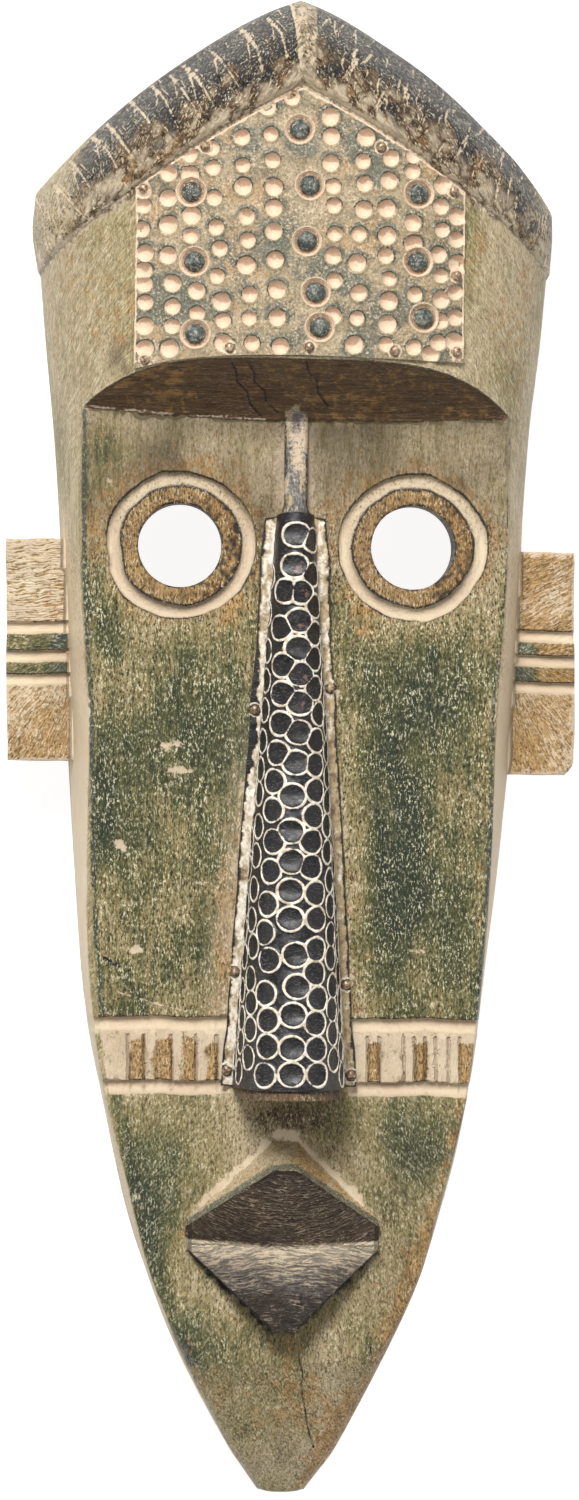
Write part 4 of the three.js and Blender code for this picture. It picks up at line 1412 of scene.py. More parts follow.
def paint_mouth(coat, x, y, chin):
    (low_ys, _), (fold_ys, _), (tip_ys, _), (band_ys, _) = MOUTH_ROWS
    low_edge, fold = np.interp(x, MOUTH_X, low_ys), np.interp(x, MOUTH_X, fold_ys)
    tip_edge, band_edge = np.interp(x, MOUTH_X, tip_ys), np.interp(x, MOUTH_X, band_ys)
    across = chin * (x > MOUTH_X[0] - 0.4) * (x < MOUTH_X[-1] + 0.4)
    lower = across * step(y, low_edge - 0.5, low_edge) * fade(y, fold - 0.1, fold + 0.1)
    upper = across * step(y, fold - 0.1, fold + 0.1) * fade(y, tip_edge - 0.3, tip_edge + 0.3)
    band = across * step(y, tip_edge - 0.3, tip_edge + 0.3) * fade(y, band_edge - 0.4, band_edge + 0.6)
    coat.clear(bounded(lower + upper + band))
    deep = bounded((fold - y) / 27)
    coat.cover("slate", lower)
    coat.cover("umber_and_shade", lower * (0.36 + 0.34 * step(deep, 0.15, 0.7)) * step(deep, 0.0, 0.35))
    coat.cover("black", lower * 0.9 * step(deep + 0.25 * swell(x, y, 5, 47), 0.35, 0.8))
    coat.cover("pale", lower * (0.6 - 0.6 * step(deep, -0.12, 0.5)))
    coat.cover("cream", lower * (0.58 - 0.5 * step(deep, -0.1, 0.8)) + 0.1 * upper)
    coat.cover("cream", across * 0.95 * line_of(y - fold + 0.6, 0.7))
    coat.cover("brown", upper)
    coat.cover("umber_and_shade", upper * (0.7 + 0.5 * swell(x, y, 7, 76)))
    coat.cover("rough", lower + 0.95 * upper)
    coat.cover("speck", 0.6 * lower + 0.8 * upper)
    coat.cover("ochre", band * (0.35 + 0.25 * step(x, -2, 4)))
    coat.cover("speck", band * 0.6)
    coat.cover("teal", band * 0.85 * line_of(y - tip_edge - 0.9, 1.6))
    reach = across * step(y, -153, -149)
    rim = 1.2 * line_of(y - band_edge - 0.4 + 1.2 * swell(x, y, 2.2, 77), 1.5)
    rim = rim * np.where(np.abs(x + 1) < 5.5, 0.3 + 0.9 * step(lumps(x, y, 1.2, 41), 0.35, 0.6), 1.0)
    apex = 0.75 * blot(x, y, (-3, -126), (5.5, 3.6), 0.9) * (0.3 + 1.1 * lumps(x, y, 1.4, 77))
    crust = np.maximum(reach * rim, chin * apex)
    coat.clear(bounded(crust), "ochre", "teal", "green", "brown")
    coat.cover("cream", crust)
    # A black line along the lips' lower edge: painted shade of their steep lower wall.
    coat.cover("black", across * 0.85 * line_of(y - low_edge, 0.5))
    coat.cover("black", across * 0.7 * line_of(y - tip_edge + 0.2, 0.4))


def paint_crest(coat, x, y):
    share = crest_share(x, y)
    crest = step(share, -0.005, 0.01)
    ends = np.where(x < 0, step(-x, 62, 84), 0.6 * step(x, 64, 86))
    ragged = 0.5 * swell(x, y, 6, 78) + 0.2 * swell(x, y, 2, 88)
    dark = crest * step(share + ragged, 0.24, 0.5) * (1 - 0.85 * ends)
    foot = fade(np.abs(x), 60, 70) * step(share, -0.1, -0.07)
    crest = np.maximum(crest, foot)
    coat.clear(crest)
    coat.cover("brown", crest * (0.85 - 0.65 * ends))
    coat.cover("ochre", crest * 0.42 * fade(share + ragged, 0.1, 0.4))
    ticks = step(lumps(0.5 * y + 0.86 * np.abs(x), 0.86 * y - 0.5 * np.abs(x), 1.2, 45, 3), 0.42, 0.68)
    coat.cover("pale", 0.8 * crest * fade(share + 0.6 * ragged, 0.12, 0.46) * ticks)
    coat.cover("black", dark * (0.86 + 0.35 * swell(x, y, 3.2, 64)))
    # A slate strip along the crest's outer edge: painted sheen where the rolled edge faces the light.
    coat.cover("slate", crest * step(share, 0.86, 0.96) * (1 - ends) * 0.7)
    coat.clear(crest * 0.5 * step(share, 0.88, 0.96), "black", "brown")
    coat.cover("speck", crest * (1.0 - 0.4 * step(share, 0.9, 0.98)))
    coat.cover("rough", crest * (0.5 - 0.35 * step(share, 0.88, 0.97)))
    strokes = marks(x, y, CREST_STROKES, taper=0.7) * (0.35 + 1.15 * lumps(x, y, 1.3, 89))
    coat.cover("cream", crest * np.clip(strokes, 0, 0.7))
    crumbs = step(lumps(x, y, 1.5, 63), 0.3, 0.6)
    coat.cover("cream", bounded(1.5 * crest_bead(x, y)) * (0.35 + 0.6 * crumbs))
    coat.cover("pale", 0.6 * crest_bead(x, y) * crumbs)
    inner_line = y - gable(CREST_INNER, x)
    coat.cover("cream", 0.75 * line_of(inner_line + 0.5, 0.45) * (x < 0) * (y > 150))
    coat.cover("black", 0.3 * line_of(inner_line - 0.1, 0.3) * (y > 150))
    half = rib_half(share)
    on_rib = crest * fade(np.abs(x - RIB_MIDDLE), half - 0.8, half) * fade(share, 0.9, 1)
    coat.clear(on_rib * 0.9, "black", "brown", "slate")
    coat.cover("brown", on_rib * 0.5)
    coat.cover("cream", on_rib * (0.36 + 0.5 * swell(x, y, 3, 59)))
    coat.cover("rough", on_rib * 0.4)
    coat.cover("cream", crest * 0.9 * line_of(rib_groove(x, share) - 0.7, 0.5) * step(share, 0.1, 0.2))


def paint_ears(coat, x, y, z):
    for spec in EARS:
        here = in_ear(x, y, z) & (np.sign(x) == spec["side"])
        first, last = max(spec["grooves"]), min(spec["grooves"])
        lands = here * step(y, last, last + 0.5) * fade(y, first - 0.5, first)
        blocks = here - lands
        coat.clear(here)
        upper = step(y, 35, 45)
        cloudy = swell(x, y, 10, 85)
        pale = upper * (spec["side"] < 0)
        coat.cover("ochre", blocks * bounded(0.95 - 0.2 * pale + 0.4 * cloudy))
        coat.cover("cream", blocks * bounded(0.3 + 0.4 * pale - 0.5 * cloudy))
        edge = np.minimum(spec["outer"] - np.abs(x), np.minimum(y - spec["low"], spec["high"] - y))
        coat.cover("cream", blocks * 0.8 * fade(edge + 1.2 * swell(x, y, 3, 90), 0.8, 1.8))
        coat.cover("rough", blocks * (0.4 + 0.4 * pale))
        coat.cover("speck", here * 0.75)
        coat.cover("green", lands * 0.6)
        coat.cover("brown", lands * 0.36)
        coat.cover("ochre", lands * (0.24 + 0.5 * (spec["side"] > 0)) * step(np.abs(x), 78, 85))
        coat.cover("teal", lands * 0.6 * fade(np.abs(x), 79, 85))
        for line in spec["grooves"]:
            from_line = y - line + ear_wander(np.abs(x))
            inside = here * fade(np.abs(from_line), EAR_GROOVE_HALF - 0.4, EAR_GROOVE_HALF + 0.1)
            coat.clear(inside)
            coat.cover("cream", inside * 0.85)
            # Painted shade on each groove's upper wall, with a black line of painted shade along its top
            # edge and a cream line of painted highlight along its lower edge.
            coat.cover("umber_and_shade", inside * 0.45 * step(from_line, -0.2, 1.4) * (z > EAR_FRONT_Z - 5))
            coat.cover("black", here * 0.9 * line_of(from_line - EAR_GROOVE_HALF + 0.1, 0.4))
            coat.clear(here * line_of(from_line + EAR_GROOVE_HALF, 0.6), "green", "teal", "ochre")
            coat.cover("cream", here * 0.9 * line_of(from_line + EAR_GROOVE_HALF, 0.45))


def body_paint(x, y, z):
    """All the paint on the carved mask, painted light and shade among it, from the lowest layer up."""
    coat = Coat(x)
    coat.cover("speck", np.full(x.shape, 0.45))
    panel, bands, chin, cove = face_zones(x, y, z)
    face = bounded(panel + bands + chin)
    side = (1 - face) * (1 - cove)
    coat.add("green", side * bounded(0.1 + 0.6 * swell(around(x, z), y, 20, 80, 1.6)))
    warm = lumps(around(x, z), y, 17, 44, 1.4) - 0.3
    coat.add("ochre", side * step(y, 105, 120) * np.clip(0.2 + 0.4 * warm, 0, 0.42))
    # The side walls are cream wood, made paler still by painted light on their steep faces.
    on_wall = side * step(panel_z(y) - z, 0, 1) * step(z, 14, 22) * fade(y, 50, 112)
    coat.add("cream", on_wall * bounded(0.62 + 0.5 * swell(z, y, 12, 67, 3)))
    coat.cover("pale", on_wall * bounded(0.6 + 0.9 * swell(z, y, 6, 43, 5)))
    coat.cover("rub", side * (0.7 - 0.35 * on_wall))
    corner = blot(x, y, (-58, 130), (7, 9), 0.8) * (z > 50)
    coat.cover("umber_and_shade", side * 0.6 * corner * step(lumps(x, y, 1.6, 42, 3), 0.4, 0.7))
    paint_panel(coat, x, y, panel)
    paint_eyes(coat, x, y, panel)
    # The brow's underside painted brown: partly its own paint, partly painted shade under the overhang.
    coat.clear(cove)
    coat.cover("brown", cove)
    coat.cover("ochre", cove * np.clip(0.27 + 0.35 * (lumps(x, y, 14, 65) - 0.3), 0, 0.5))
    coat.cover("speck", cove * 0.25)
    above_brow = y - brow_line(x)
    lip = step(above_brow, -1.0, 0) * fade(above_brow, 0.2, 1.0) * (np.abs(x) < BROW_HALF)
    coat.cover("cream", 0.55 * lip)
    top_edge = line_of(y - panel_top(x) - 0.2, 0.5) * (x < -10) * (x > -BROW_HALF)
    coat.cover("cream", 0.7 * top_edge * (z > 50))
    paint_bands(coat, x, y, bands, face)
    paint_chin(coat, x, y, chin)
    paint_mouth(coat, x, y, chin)
    for place, radii in PALE_PATCHES:
        coat.add("cream", face * 0.3 * blot(x, y, place, radii, 0.8))
    slanted = swell(0.5 * x + 0.86 * y, 0.86 * x - 0.5 * y, 1.1, 24, 2.6)
    chips = chipped(x, y)
    coat.cover("cream", (z > 30) * np.clip(0.62 * chips + 1.5 * slanted * (chips > 0), 0, 0.85))
    coat.cover("black", 0.8 * (z > 12) * bounded(marks(x, y, CRACKS) * 1.4))
    coat.cover("cream", 0.8 * (z > 40) * marks(x, y, SCRATCHES))
    paint_crest(coat, x, y)
    paint_ears(coat, x, y, z)
    paint_ridge(coat, x, y, z)
    paint_nose_end(coat, x, y, z)
    return coat.done()


def paint_nose_end(coat, x, y, z):
    """The bare wood that shows under the nose sheet's lower edge."""
    proud = (z > panel_z(y) + 0.6) * (np.abs(x) < nose_half(y) + 1)
    bare = proud * fade(y, *NOSE_LIP) * (y > NOSE_BOTTOM_Y - 1)
    coat.clear(bare)
    coat.cover("brown", bare)
    coat.cover("black", bare * 0.5 * lumps(x, z, 6, 57))
    coat.cover("speck", bare * 0.4)


def paint_ridge(coat, x, y, z):
    """The bare top of the nose above its sheet."""
    proud = step(z - panel_z(y), 0.5, 1.2) * (np.abs(x) < ridge_half(y) + 1)
    on_nose = proud * step(y, 76, 80) * (y < NOSE_TOP_Y + 1)
    coat.clear(on_nose)
    coat.cover("cream", on_nose * (0.37 + 0.7 * swell(x, y, 4, 86, 2)))
    coat.cover("slate", on_nose * (0.42 + 0.7 * step(lumps(x, y, 3.4, 87, 1.3), 0.34, 0.58)))
    coat.cover("speck", on_nose * 0.7)
    coat.cover("black", 0.75 * on_nose * line_of(np.abs(x) - ridge_half(y) + 0.3, 0.6))


def grain_directions(x, y, z):
    """Where each point lies across and along the tool marks of its part, in metres."""
    across, along = x + 0.35 * z, y.copy()
    _, _, chin, cove = face_zones(x, y, z)
    share = crest_share(x, y)

    def use(where, new_across, new_along):
        across[where] = new_across[where]
        along[where] = new_along[where]

    use(cove > 0.5, y + z, x)
    use(share > 0, 0.5 * y + 0.86 * np.abs(x), 0.86 * y - 0.5 * np.abs(x))
    low_edge = np.interp(x, MOUTH_X, MOUTH_ROWS[0][0])
    tip_edge = np.interp(x, MOUTH_X, MOUTH_ROWS[2][0])
    lips = (chin > 0.5) & (y > low_edge) & (y < tip_edge) & (x > MOUTH_X[0]) & (x < MOUTH_X[-1])
    use(lips, y + 0.012 * x * x * np.where(y > -163, -1, 0.4), x)
    ear = in_ear(x, y, z)
    use(ear & (y > 33), y + np.where(x < 0, 0.1, -0.5) * np.abs(x), x)
    fan = np.hypot(np.abs(x) - 70, y - 45)
    use(ear & (y <= 33), 45 * np.arctan2(np.abs(x) - 66, 40 - y), fan)
    return np.stack([across, along, z], axis=1) * MM


def slant_directions(x, y, z):
    """Places across and along the scratches that follow the gable, alike on both sides."""
    out = np.abs(around(x, z))
    return np.stack([0.64 * out + 0.77 * y, 0.77 * out - 0.64 * y, 0.1 * z], axis=1) * MM


def forehead_paint(x, y):
    r, which = nearest(x, y, DENTS)
    share = r / DENT_R[which]
    up = (y - np.array(DENTS)[which, 1]) / DENT_R[which]
    boss_r, _ = nearest(x, y, BOSSES)
    tack_r, _ = nearest(x, y, PLATE_TACKS)
    clear = step(boss_r, MOAT_R + 0.2, MOAT_R + 0.8)
    cloudy = swell(x, y, 9, 83)
    halo = fade(share, 1.15, 1.9) * step(share, 0.95, 1.1)
    # The teal stain round each dent is the sheet's own, made heavier above the dent as painted shade.
    teal = clear * halo * bounded(0.75 + 0.5 * up + 1.6 * cloudy) * 0.8
    teal = np.maximum(teal, bounded(0.34 + 1.2 * cloudy) * step(share, 0.95, 1.1) * clear)
    # A dark rim round each dent, stronger at its top: painted shade of the dent's upper edge.
    rim = clear * line_of(share - 1.03 - 0.25 * swell(x, y, 2.4, 61), 0.11)
    rim = rim * bounded(0.6 + 0.8 * up + 1.4 * swell(x, y, 5, 60))
    cream = clear * fade(share, 0.86, 0.98)
    cream = np.maximum(cream, line_of(boss_r - MOAT_R + 0.1, 0.55))
    cream = np.maximum(cream, 0.9 * line_of(tack_r - 2.1, 0.4))
    along_foot = fade(y - plate_low(x), 1.0, 2.0)
    cream = np.maximum(cream, (0.9 - 0.6 * along_foot) * fade(plate_margin(x, y), 0.35, 0.8))
    uneven = 0.8 * swell(x, y, 2.2, 62)
    # Brown over the top part of each dent and in the bosses' moats: painted shade in these hollows.
    brown = clear * fade(share, 0.85, 0.98) * step(up + uneven, -0.35, 0.75)
    brown = np.maximum(brown, 0.85 * line_of(boss_r - BOSS_R - 0.5, 0.5))
    black = fade(boss_r, BOSS_R - 0.2, BOSS_R + 0.3)
    ochre = bounded(0.25 + 1.5 * swell(x, y, 8, 84)) * step(share, 1.1, 1.4) * clear
    return {"teal": teal, "dark": rim, "cream": cream, "brown": brown, "black": black, "ochre": ochre}


def nose_paint(u, y):
    inside, which = in_ring(u, y)
    on_nose = fade(np.abs(u), nose_foot(y) - 1.6, nose_foot(y) - 0.4)
    tack_r, _ = nearest(u, y, nose_tack_places())
    margin = nose_margin(u, y)
    worn = 0.5 + 0.9 * lumps(u, y, 2.6, 95)
    cream = on_nose * bounded(worn * line_of(inside, 0.46))
    # The sheet's dark edge left bare of tan, widened on the left flange into painted shadow of the gap
    # beside it.
    band = np.where(u < 0, 1.7 * blot(y, y * 0, (12, 0), (26, 1), 0.6), 0.0)
    edge = (0.4 + band) * (0.5 + lumps(y, u * 0, 4, 96))
    flange = (1 - on_nose) * step(margin, edge, edge + 0.35)
    pale = np.where(u < 0, np.interp(y, (30, 55), (0.7, 0.6)), np.interp(y, (0, 30), (0.34, 0.5)))
    cream = np.maximum(cream, flange * (pale + 0.7 * swell(u, y, 1.6, 97, 2)))
    cream = np.maximum(cream, 0.8 * line_of(tack_r - 2.3, 0.4) * (1 - on_nose))
    centre = np.array(RINGS)[which]
    broken = step(lumps(u, y, 1.2, 98), 0.35, 0.6)
    ring_u, ring_y = centre[:, 0], centre[:, 1]
    scuff = blot(u - ring_u, y - ring_y, (0.8, -0.9), (2.9, 3.4), 0.9) * step(ring_y, 0, 30)
    scuff = scuff * broken * (np.abs(ring_u) < 3) * (lumps(ring_u, ring_y, 7, 99) > 0.35)
    hole = fade(tack_r, 1.8, 2.1) * (1 - on_nose)
    return {"cream": bounded(cream), "brown": on_nose * scuff, "tan": flange, "hole": hole}


def coordinates(piece):
    """Places in mm of a piece's points."""
    co = np.zeros(len(piece.data.vertices) * 3)
    piece.data.vertices.foreach_get("co", co)
    return co.reshape(-1, 3).T / MM


def set_paint(piece, paint):
    for name, value in paint.items():
        layer = piece.data.attributes.new(name, "FLOAT", "POINT")
        layer.data.foreach_set("value", np.ascontiguousarray(value, np.float32))


def set_places(piece, name, places):
    layer = piece.data.attributes.new(name, "FLOAT_VECTOR", "POINT")
    layer.data.foreach_set("vector", np.ascontiguousarray(places, np.float32).ravel())


def smooth(piece, degrees):
    only(piece)
    bpy.ops.object.shade_smooth_by_angle(angle=math.radians(degrees), keep_sharp_edges=False)


# Materials

def tone(red, green, blue):
    """A colour given as on a screen, from 0 to 255, in the shader's own linear scale."""
    def linear(c):
        c /= 255
        return c / 12.92 if c <= 0.04045 else ((c + 0.055) / 1.055) ** 2.4
    return linear(red), linear(green), linear(blue), 1.0


# Where a Mix node keeps its share and its colours among its sockets
MIX_SHARE, MIX_A, MIX_B, MIX_OUT = 0, 6, 7, 2


class Amount:
    """A number that a shader works out at every place; the usual signs add its math nodes."""

    def __init__(self, make, socket):
        self.make, self.socket = make, socket

    def __add__(self, other):
        return self.make.math("ADD", self, other)

    def __sub__(self, other):
        return self.make.math("SUBTRACT", self, other)

    def __rsub__(self, other):
        return self.make.math("SUBTRACT", other, self)

    def __mul__(self, other):
        return self.make.math("MULTIPLY", self, other)


class Shader:
    """A material or a group under construction: adds nodes and links them."""

    def __init__(self, tree):
        self.tree = tree

    def put(self, value, socket):
        """Links a socket to what another node gives, or sets a plain value on it."""
        value = getattr(value, "socket", value)
        if isinstance(value, bpy.types.NodeSocket):
            self.tree.links.new(value, socket)
        else:
            socket.default_value = value

    def node(self, kind, inputs, **settings):
        made = self.tree.nodes.new(kind)
        for name, value in settings.items():
            setattr(made, name, value)
        for key, value in inputs.items():
            self.put(value, made.inputs[key])
        return made

    def use(self, tree, **inputs):
        """Places a node group and gives its outputs by name."""
        made = self.node("ShaderNodeGroup", inputs, node_tree=tree)
        return {socket.name: Amount(self, socket) for socket in made.outputs}

    def math(self, operation, a, b, clamp=False):
        made = self.node("ShaderNodeMath", {0: a, 1: b}, operation=operation, use_clamp=clamp)
        return Amount(self, made.outputs[0])

    def vectors(self, operation, a, b):
        return self.node("ShaderNodeVectorMath", {0: a, 1: b}, operation=operation).outputs[0]

    def stretched(self, place, stretch):
        """A place drawn out along its second direction."""
        combine = self.node("ShaderNodeCombineXYZ", {"X": 1.0, "Y": stretch, "Z": 1.0})
        return self.vectors("MULTIPLY", place, combine.outputs[0])

    def paint(self, name):
        return Amount(self, self.node("ShaderNodeAttribute", {}, attribute_name=name).outputs["Fac"])

    def direction(self, name):
        return self.node("ShaderNodeAttribute", {}, attribute_name=name).outputs["Vector"]

    def noise(self, place, scale, detail, rough):
        made = self.node("ShaderNodeTexNoise", {
            "Vector": place, "Scale": scale, "Detail": detail, "Roughness": rough,
        })
        return Amount(self, made.outputs["Fac"])

    def between(self, value, low_end, high_end, low_value=0.0, high_value=1.0):
        made = self.node("ShaderNodeMapRange", {
            "Value": value, "From Min": low_end, "From Max": high_end,
            "To Min": low_value, "To Max": high_value,
        }, interpolation_type="SMOOTHSTEP")
        return Amount(self, made.outputs["Result"])

    def colour(self, share, a, b):
        """Colour a where share is 0 and b where it is 1."""
        made = self.node("ShaderNodeMix", {MIX_SHARE: share, MIX_A: a, MIX_B: b}, data_type="RGBA")
        return made.outputs[MIX_OUT]

    def ramp(self, value, *stops):
        made = self.node("ShaderNodeValToRGB", {"Fac": value})
        elements = made.color_ramp.elements
        while len(elements) < len(stops):
            elements.new(0.5)
        for element, (place, colour) in zip(elements, stops):
            element.position = place
            element.color = colour
        return made.outputs["Color"]

    def flakes(self, place, cover, size, ragged, most=1.0):
        """How far a paint covers, with ragged flakes at its edge."""
        return self.use(FLAKING, Place=place, Cover=cover, Size=size, Ragged=ragged)["Cover"] * most

    def bump(self, height, strength, distance):
        return self.node("ShaderNodeBump", {
            "Height": height, "Strength": strength, "Distance": distance,
        }).outputs["Normal"]


def group(name, inputs, outputs, work):
    """A node group with named sockets; work is given its inputs and gives back its outputs."""
    tree = bpy.data.node_groups.new(name, "ShaderNodeTree")
    make = Shader(tree)
    for socket, value in inputs.items():
        kind = "NodeSocketVector" if value is None else "NodeSocketFloat"
        made = tree.interface.new_socket(name=socket, in_out="INPUT", socket_type=kind)
        if value is not None:
            made.default_value = value
    for socket in outputs:
        tree.interface.new_socket(name=socket, in_out="OUTPUT", socket_type="NodeSocketFloat")
    given, result = tree.nodes.new("NodeGroupInput"), tree.nodes.new("NodeGroupOutput")
    values = work(make, *(Amount(make, given.outputs[socket]) for socket in inputs))
    for socket, value in zip(outputs, values):
        make.put(value, result.inputs[socket])
    return tree


def flaking(make, place, cover, size, ragged):
    """Breaks the edge of a painted area into ragged flakes."""
    shift = (make.noise(place, size, 6.0, 0.7) - 0.5) * ragged
    return [make.between(cover + shift * 2.0, 0.35, 0.65)]


def worn_grain(make, place, size, stretch):
    """Fine streaks along the wood and their relief."""
    long = make.stretched(place, stretch)
    streaks = make.noise(long, size, 5.0, 0.65)
    fine = make.noise(long, size * 3.1, 3.0, 0.6)
    return streaks, streaks + fine * 0.5


def flecks(make, place, size, stretch):
    """Small flecks drawn out along the grain: pale ones, dark ones and their relief."""
    value = make.noise(make.stretched(place, stretch), size, 3.0, 0.75)
    crowded = make.between(make.noise(place, size * 0.09, 3.0, 0.6), 0.36, 0.64, 0.35, 1.0)
    return make.between(value, 0.55, 0.61) * crowded, make.between(value, 0.46, 0.39), value


def chisel_ridges(make, place, size):
    """Wavy ridges left by a chisel, running along the grain."""
    drawn = make.node("ShaderNodeMapping", {"Vector": place, "Scale": (1.0, 0.15, 0.3)}).outputs["Vector"]
    bent = make.node("ShaderNodeTexNoise", {"Vector": place, "Scale": 110.0, "Detail": 2.0})
    shift = make.vectors("MULTIPLY", bent.outputs["Color"], (0.0035, 0.0, 0.0))
    value = make.noise(make.vectors("ADD", drawn, shift), size, 2.0, 0.55)
    return make.between(value, 0.46, 0.38), value


FLAKING = group(
    "flaking paint", {"Place": None, "Cover": 0.5, "Size": 300.0, "Ragged": 0.5}, ("Cover",), flaking,
)
GRAIN = group(
    "worn grain", {"Place": None, "Size": 400.0, "Stretch": 0.2}, ("Streaks", "Height"), worn_grain,
)
FLECKS = group(
    "flecks", {"Place": None, "Size": 1000.0, "Stretch": 0.4}, ("Light", "Dark", "Height"), flecks,
)
RIDGES = group("chisel ridges", {"Place": None, "Size": 560.0}, ("Valley", "Height"), chisel_ridges)

TONES = {
    "ground": tone(189, 169, 133),
    "olive": tone(152, 136, 88),
    "green": tone(93, 93, 52),
    "deep green": tone(45, 57, 34),
    "brown": tone(116, 86, 55),
    "deep brown": tone(76, 54, 34),
    "ochre": tone(194, 148, 82),
    "deep ochre": tone(150, 112, 62),
    "cream": tone(232, 214, 182),
    "black": tone(40, 37, 42),
    "teal": tone(62, 76, 70),
    "raw wood": tone(128, 98, 66),
    "slate": tone(106, 103, 107),
    "shade": tone(40, 36, 26),
    "fleck": tone(238, 228, 194),
    "pink cream": tone(216, 190, 162),
    # A pale wash that also serves as painted highlight, and a dark brown that also serves as painted
    # shade.
    "pale wash and highlight": tone(216, 198, 168),
    "umber_and_shade": tone(48, 36, 24),
}
# The paints that lie over the green, from the lowest up: name, size of its flakes, raggedness, cover
WOOD_PAINTS = (
    ("brown", 500.0, 0.5, 1.0), ("ochre", 260.0, 0.9, 0.8), ("slate", 420.0, 0.6, 0.9),
    ("black", 700.0, 0.7, 0.95), ("teal", 700.0, 0.6, 0.8),
)


def new_material(name):
    material = bpy.data.materials.new(name)
    material.use_nodes = True
    make = Shader(material.node_tree)
    place = make.node("ShaderNodeTexCoord", {}).outputs["Object"]
    return material, make, place


def finish_material(material, make, colour, roughness, normal=None):
    """Gives the shader its colour, its roughness and its fine relief."""
    inputs = material.node_tree.nodes["Principled BSDF"].inputs
    make.put(colour, inputs["Base Color"])
    make.put(roughness, inputs["Roughness"])
    if normal is not None:
        make.put(normal, inputs["Normal"])
    return material


def painted_wood():
    material, make, place = new_material("painted_wood")
    along, slant = make.direction("grain"), make.direction("slant")
    grain = make.use(GRAIN, Place=along, Size=620.0, Stretch=0.14)
    slanted = make.use(GRAIN, Place=slant, Size=520.0, Stretch=0.1)
    fleck = make.use(FLECKS, Place=along, Size=1700.0, Stretch=0.4)
    scratch = make.use(FLECKS, Place=slant, Size=1500.0, Stretch=0.15)
    stain = make.use(FLECKS, Place=slant, Size=300.0, Stretch=0.16)
    ridges = make.use(RIDGES, Place=along, Size=1500.0)
    cloud = make.noise(place, 42.0, 6.0, 0.62)
    speck, rough, rub = make.paint("speck"), make.paint("rough"), make.paint("rub")
    raised = (ridges["Height"] - 0.5) * (rough * 2.6)

    streak = (grain["Streaks"] - 0.5) * 1.35 * (1.0 - rub * 0.75)
    across = (slanted["Streaks"] - 0.5) * (rub * 0.6)
    level = make.math("ADD", make.paint("green") + streak + across, (cloud - 0.5) * 0.7, clamp=True)
    colour = make.ramp(
        level, (0.0, TONES["ground"]), (0.3, TONES["olive"]),
        (0.62, TONES["green"]), (1.0, TONES["deep green"]),
    )
    deeper = make.between(grain["Streaks"], 0.35, 0.65)
    for name, size, ragged, most in WOOD_PAINTS:
        coat = TONES[name]
        if "deep " + name in TONES:
            coat = make.colour(deeper, coat, TONES["deep " + name])
        colour = make.colour(make.flakes(place, make.paint(name), size, ragged, most), colour, coat)

    ochred = make.between(make.paint("ochre"), 0.3, 0.6)
    valley_tone = make.colour(ochred, TONES["shade"], TONES["deep ochre"])
    for share, coat in (
        (fleck["Dark"] * speck, TONES["shade"]),
        (fleck["Light"] * (speck * 0.95), TONES["fleck"]),
        (scratch["Dark"] * (rub * 0.5), TONES["shade"]),
        (scratch["Light"] * (rub * 0.8), TONES["fleck"]),
        (stain["Dark"] * (rub * 0.25), TONES["green"]),
        (ridges["Valley"] * (rough * 0.55), valley_tone),
    ):
        colour = make.colour(share, colour, coat)
    creamed = make.ramp(cloud, (0.35, TONES["cream"]), (0.65, TONES["pink cream"]))
    cream = make.flakes(place, make.paint("cream") + raised, 900.0, 0.7, 0.92)
    colour = make.colour(cream, colour, creamed)
    streaky = make.between(grain["Streaks"], 0.36, 0.64, 1.25, 0.6)
    patchy = make.between(cloud, 0.36, 0.64, 0.75, 1.2)
    # The last two washes: pale paint with painted highlights, and dark paint with painted shade.
    for name, uneven, coat in (("pale", streaky, "pale wash and highlight"), ("umber_and_shade", patchy, "umber_and_shade")):
        wash = make.math("MULTIPLY", make.paint(name), uneven, clamp=True)
        colour = make.colour(wash, colour, TONES[coat])
    height = grain["Height"] + fleck["Height"] * speck + raised * 1.2
    roughness = make.between(grain["Streaks"], 0.3, 0.7, 0.45, 0.7)
    return finish_material(material, make, colour, roughness, make.bump(height, 0.9, 0.0008))


def raw_wood():
    material, make, place = new_material("raw_wood")
    grain = make.use(GRAIN, Place=place, Size=260.0, Stretch=0.12)
    colour = make.ramp(
        grain["Streaks"], (0.3, tone(150, 118, 82)), (0.5, TONES["raw wood"]), (0.7, tone(92, 66, 42)),
    )
    return finish_material(material, make, colour, 0.75, make.bump(grain["Height"], 0.6, 0.0006))


def forehead_metal():
    material, make, place = new_material("forehead_sheet")
    grain = make.use(GRAIN, Place=place, Size=380.0, Stretch=0.8)
    fleck = make.use(FLECKS, Place=place, Size=1300.0, Stretch=0.9)
    cloud = make.noise(place, 120.0, 5.0, 0.65)
    colour = make.ramp(
        cloud, (0.35, tone(184, 163, 130)), (0.5, tone(164, 145, 113)), (0.66, tone(132, 120, 93)),
    )
    patina = make.ramp(
        grain["Streaks"], (0.36, tone(44, 52, 52)), (0.52, tone(80, 90, 86)), (0.66, tone(150, 150, 138)),
    )
    # On this sheet the brown and dark layers hold painted shade in the dents and the moats.
    for name, size, ragged, most, coat in (
        ("ochre", 300.0, 0.9, 0.6, tone(182, 146, 102)), ("teal", 380.0, 0.55, 0.75, tone(84, 92, 82)),
        ("dark", 700.0, 0.5, 0.85, tone(54, 56, 48)), ("black", 900.0, 0.35, 1.0, patina),
        ("cream", 700.0, 0.5, 1.0, tone(228, 202, 172)), ("brown", 500.0, 0.4, 0.62, tone(158, 112, 84)),
    ):
        colour = make.colour(make.flakes(place, make.paint(name), size, ragged, most), colour, coat)
    bare = 1.0 - make.paint("cream") * 0.7
    colour = make.colour(fleck["Light"] * (bare * 0.7), colour, TONES["cream"])
    colour = make.colour(fleck["Dark"] * (bare * 0.5), colour, TONES["shade"])
    roughness = make.between(cloud, 0.3, 0.7, 0.42, 0.62)
    return finish_material(
        material, make, colour, roughness, make.bump(grain["Height"] + fleck["Height"], 0.6, 0.0004),
    )


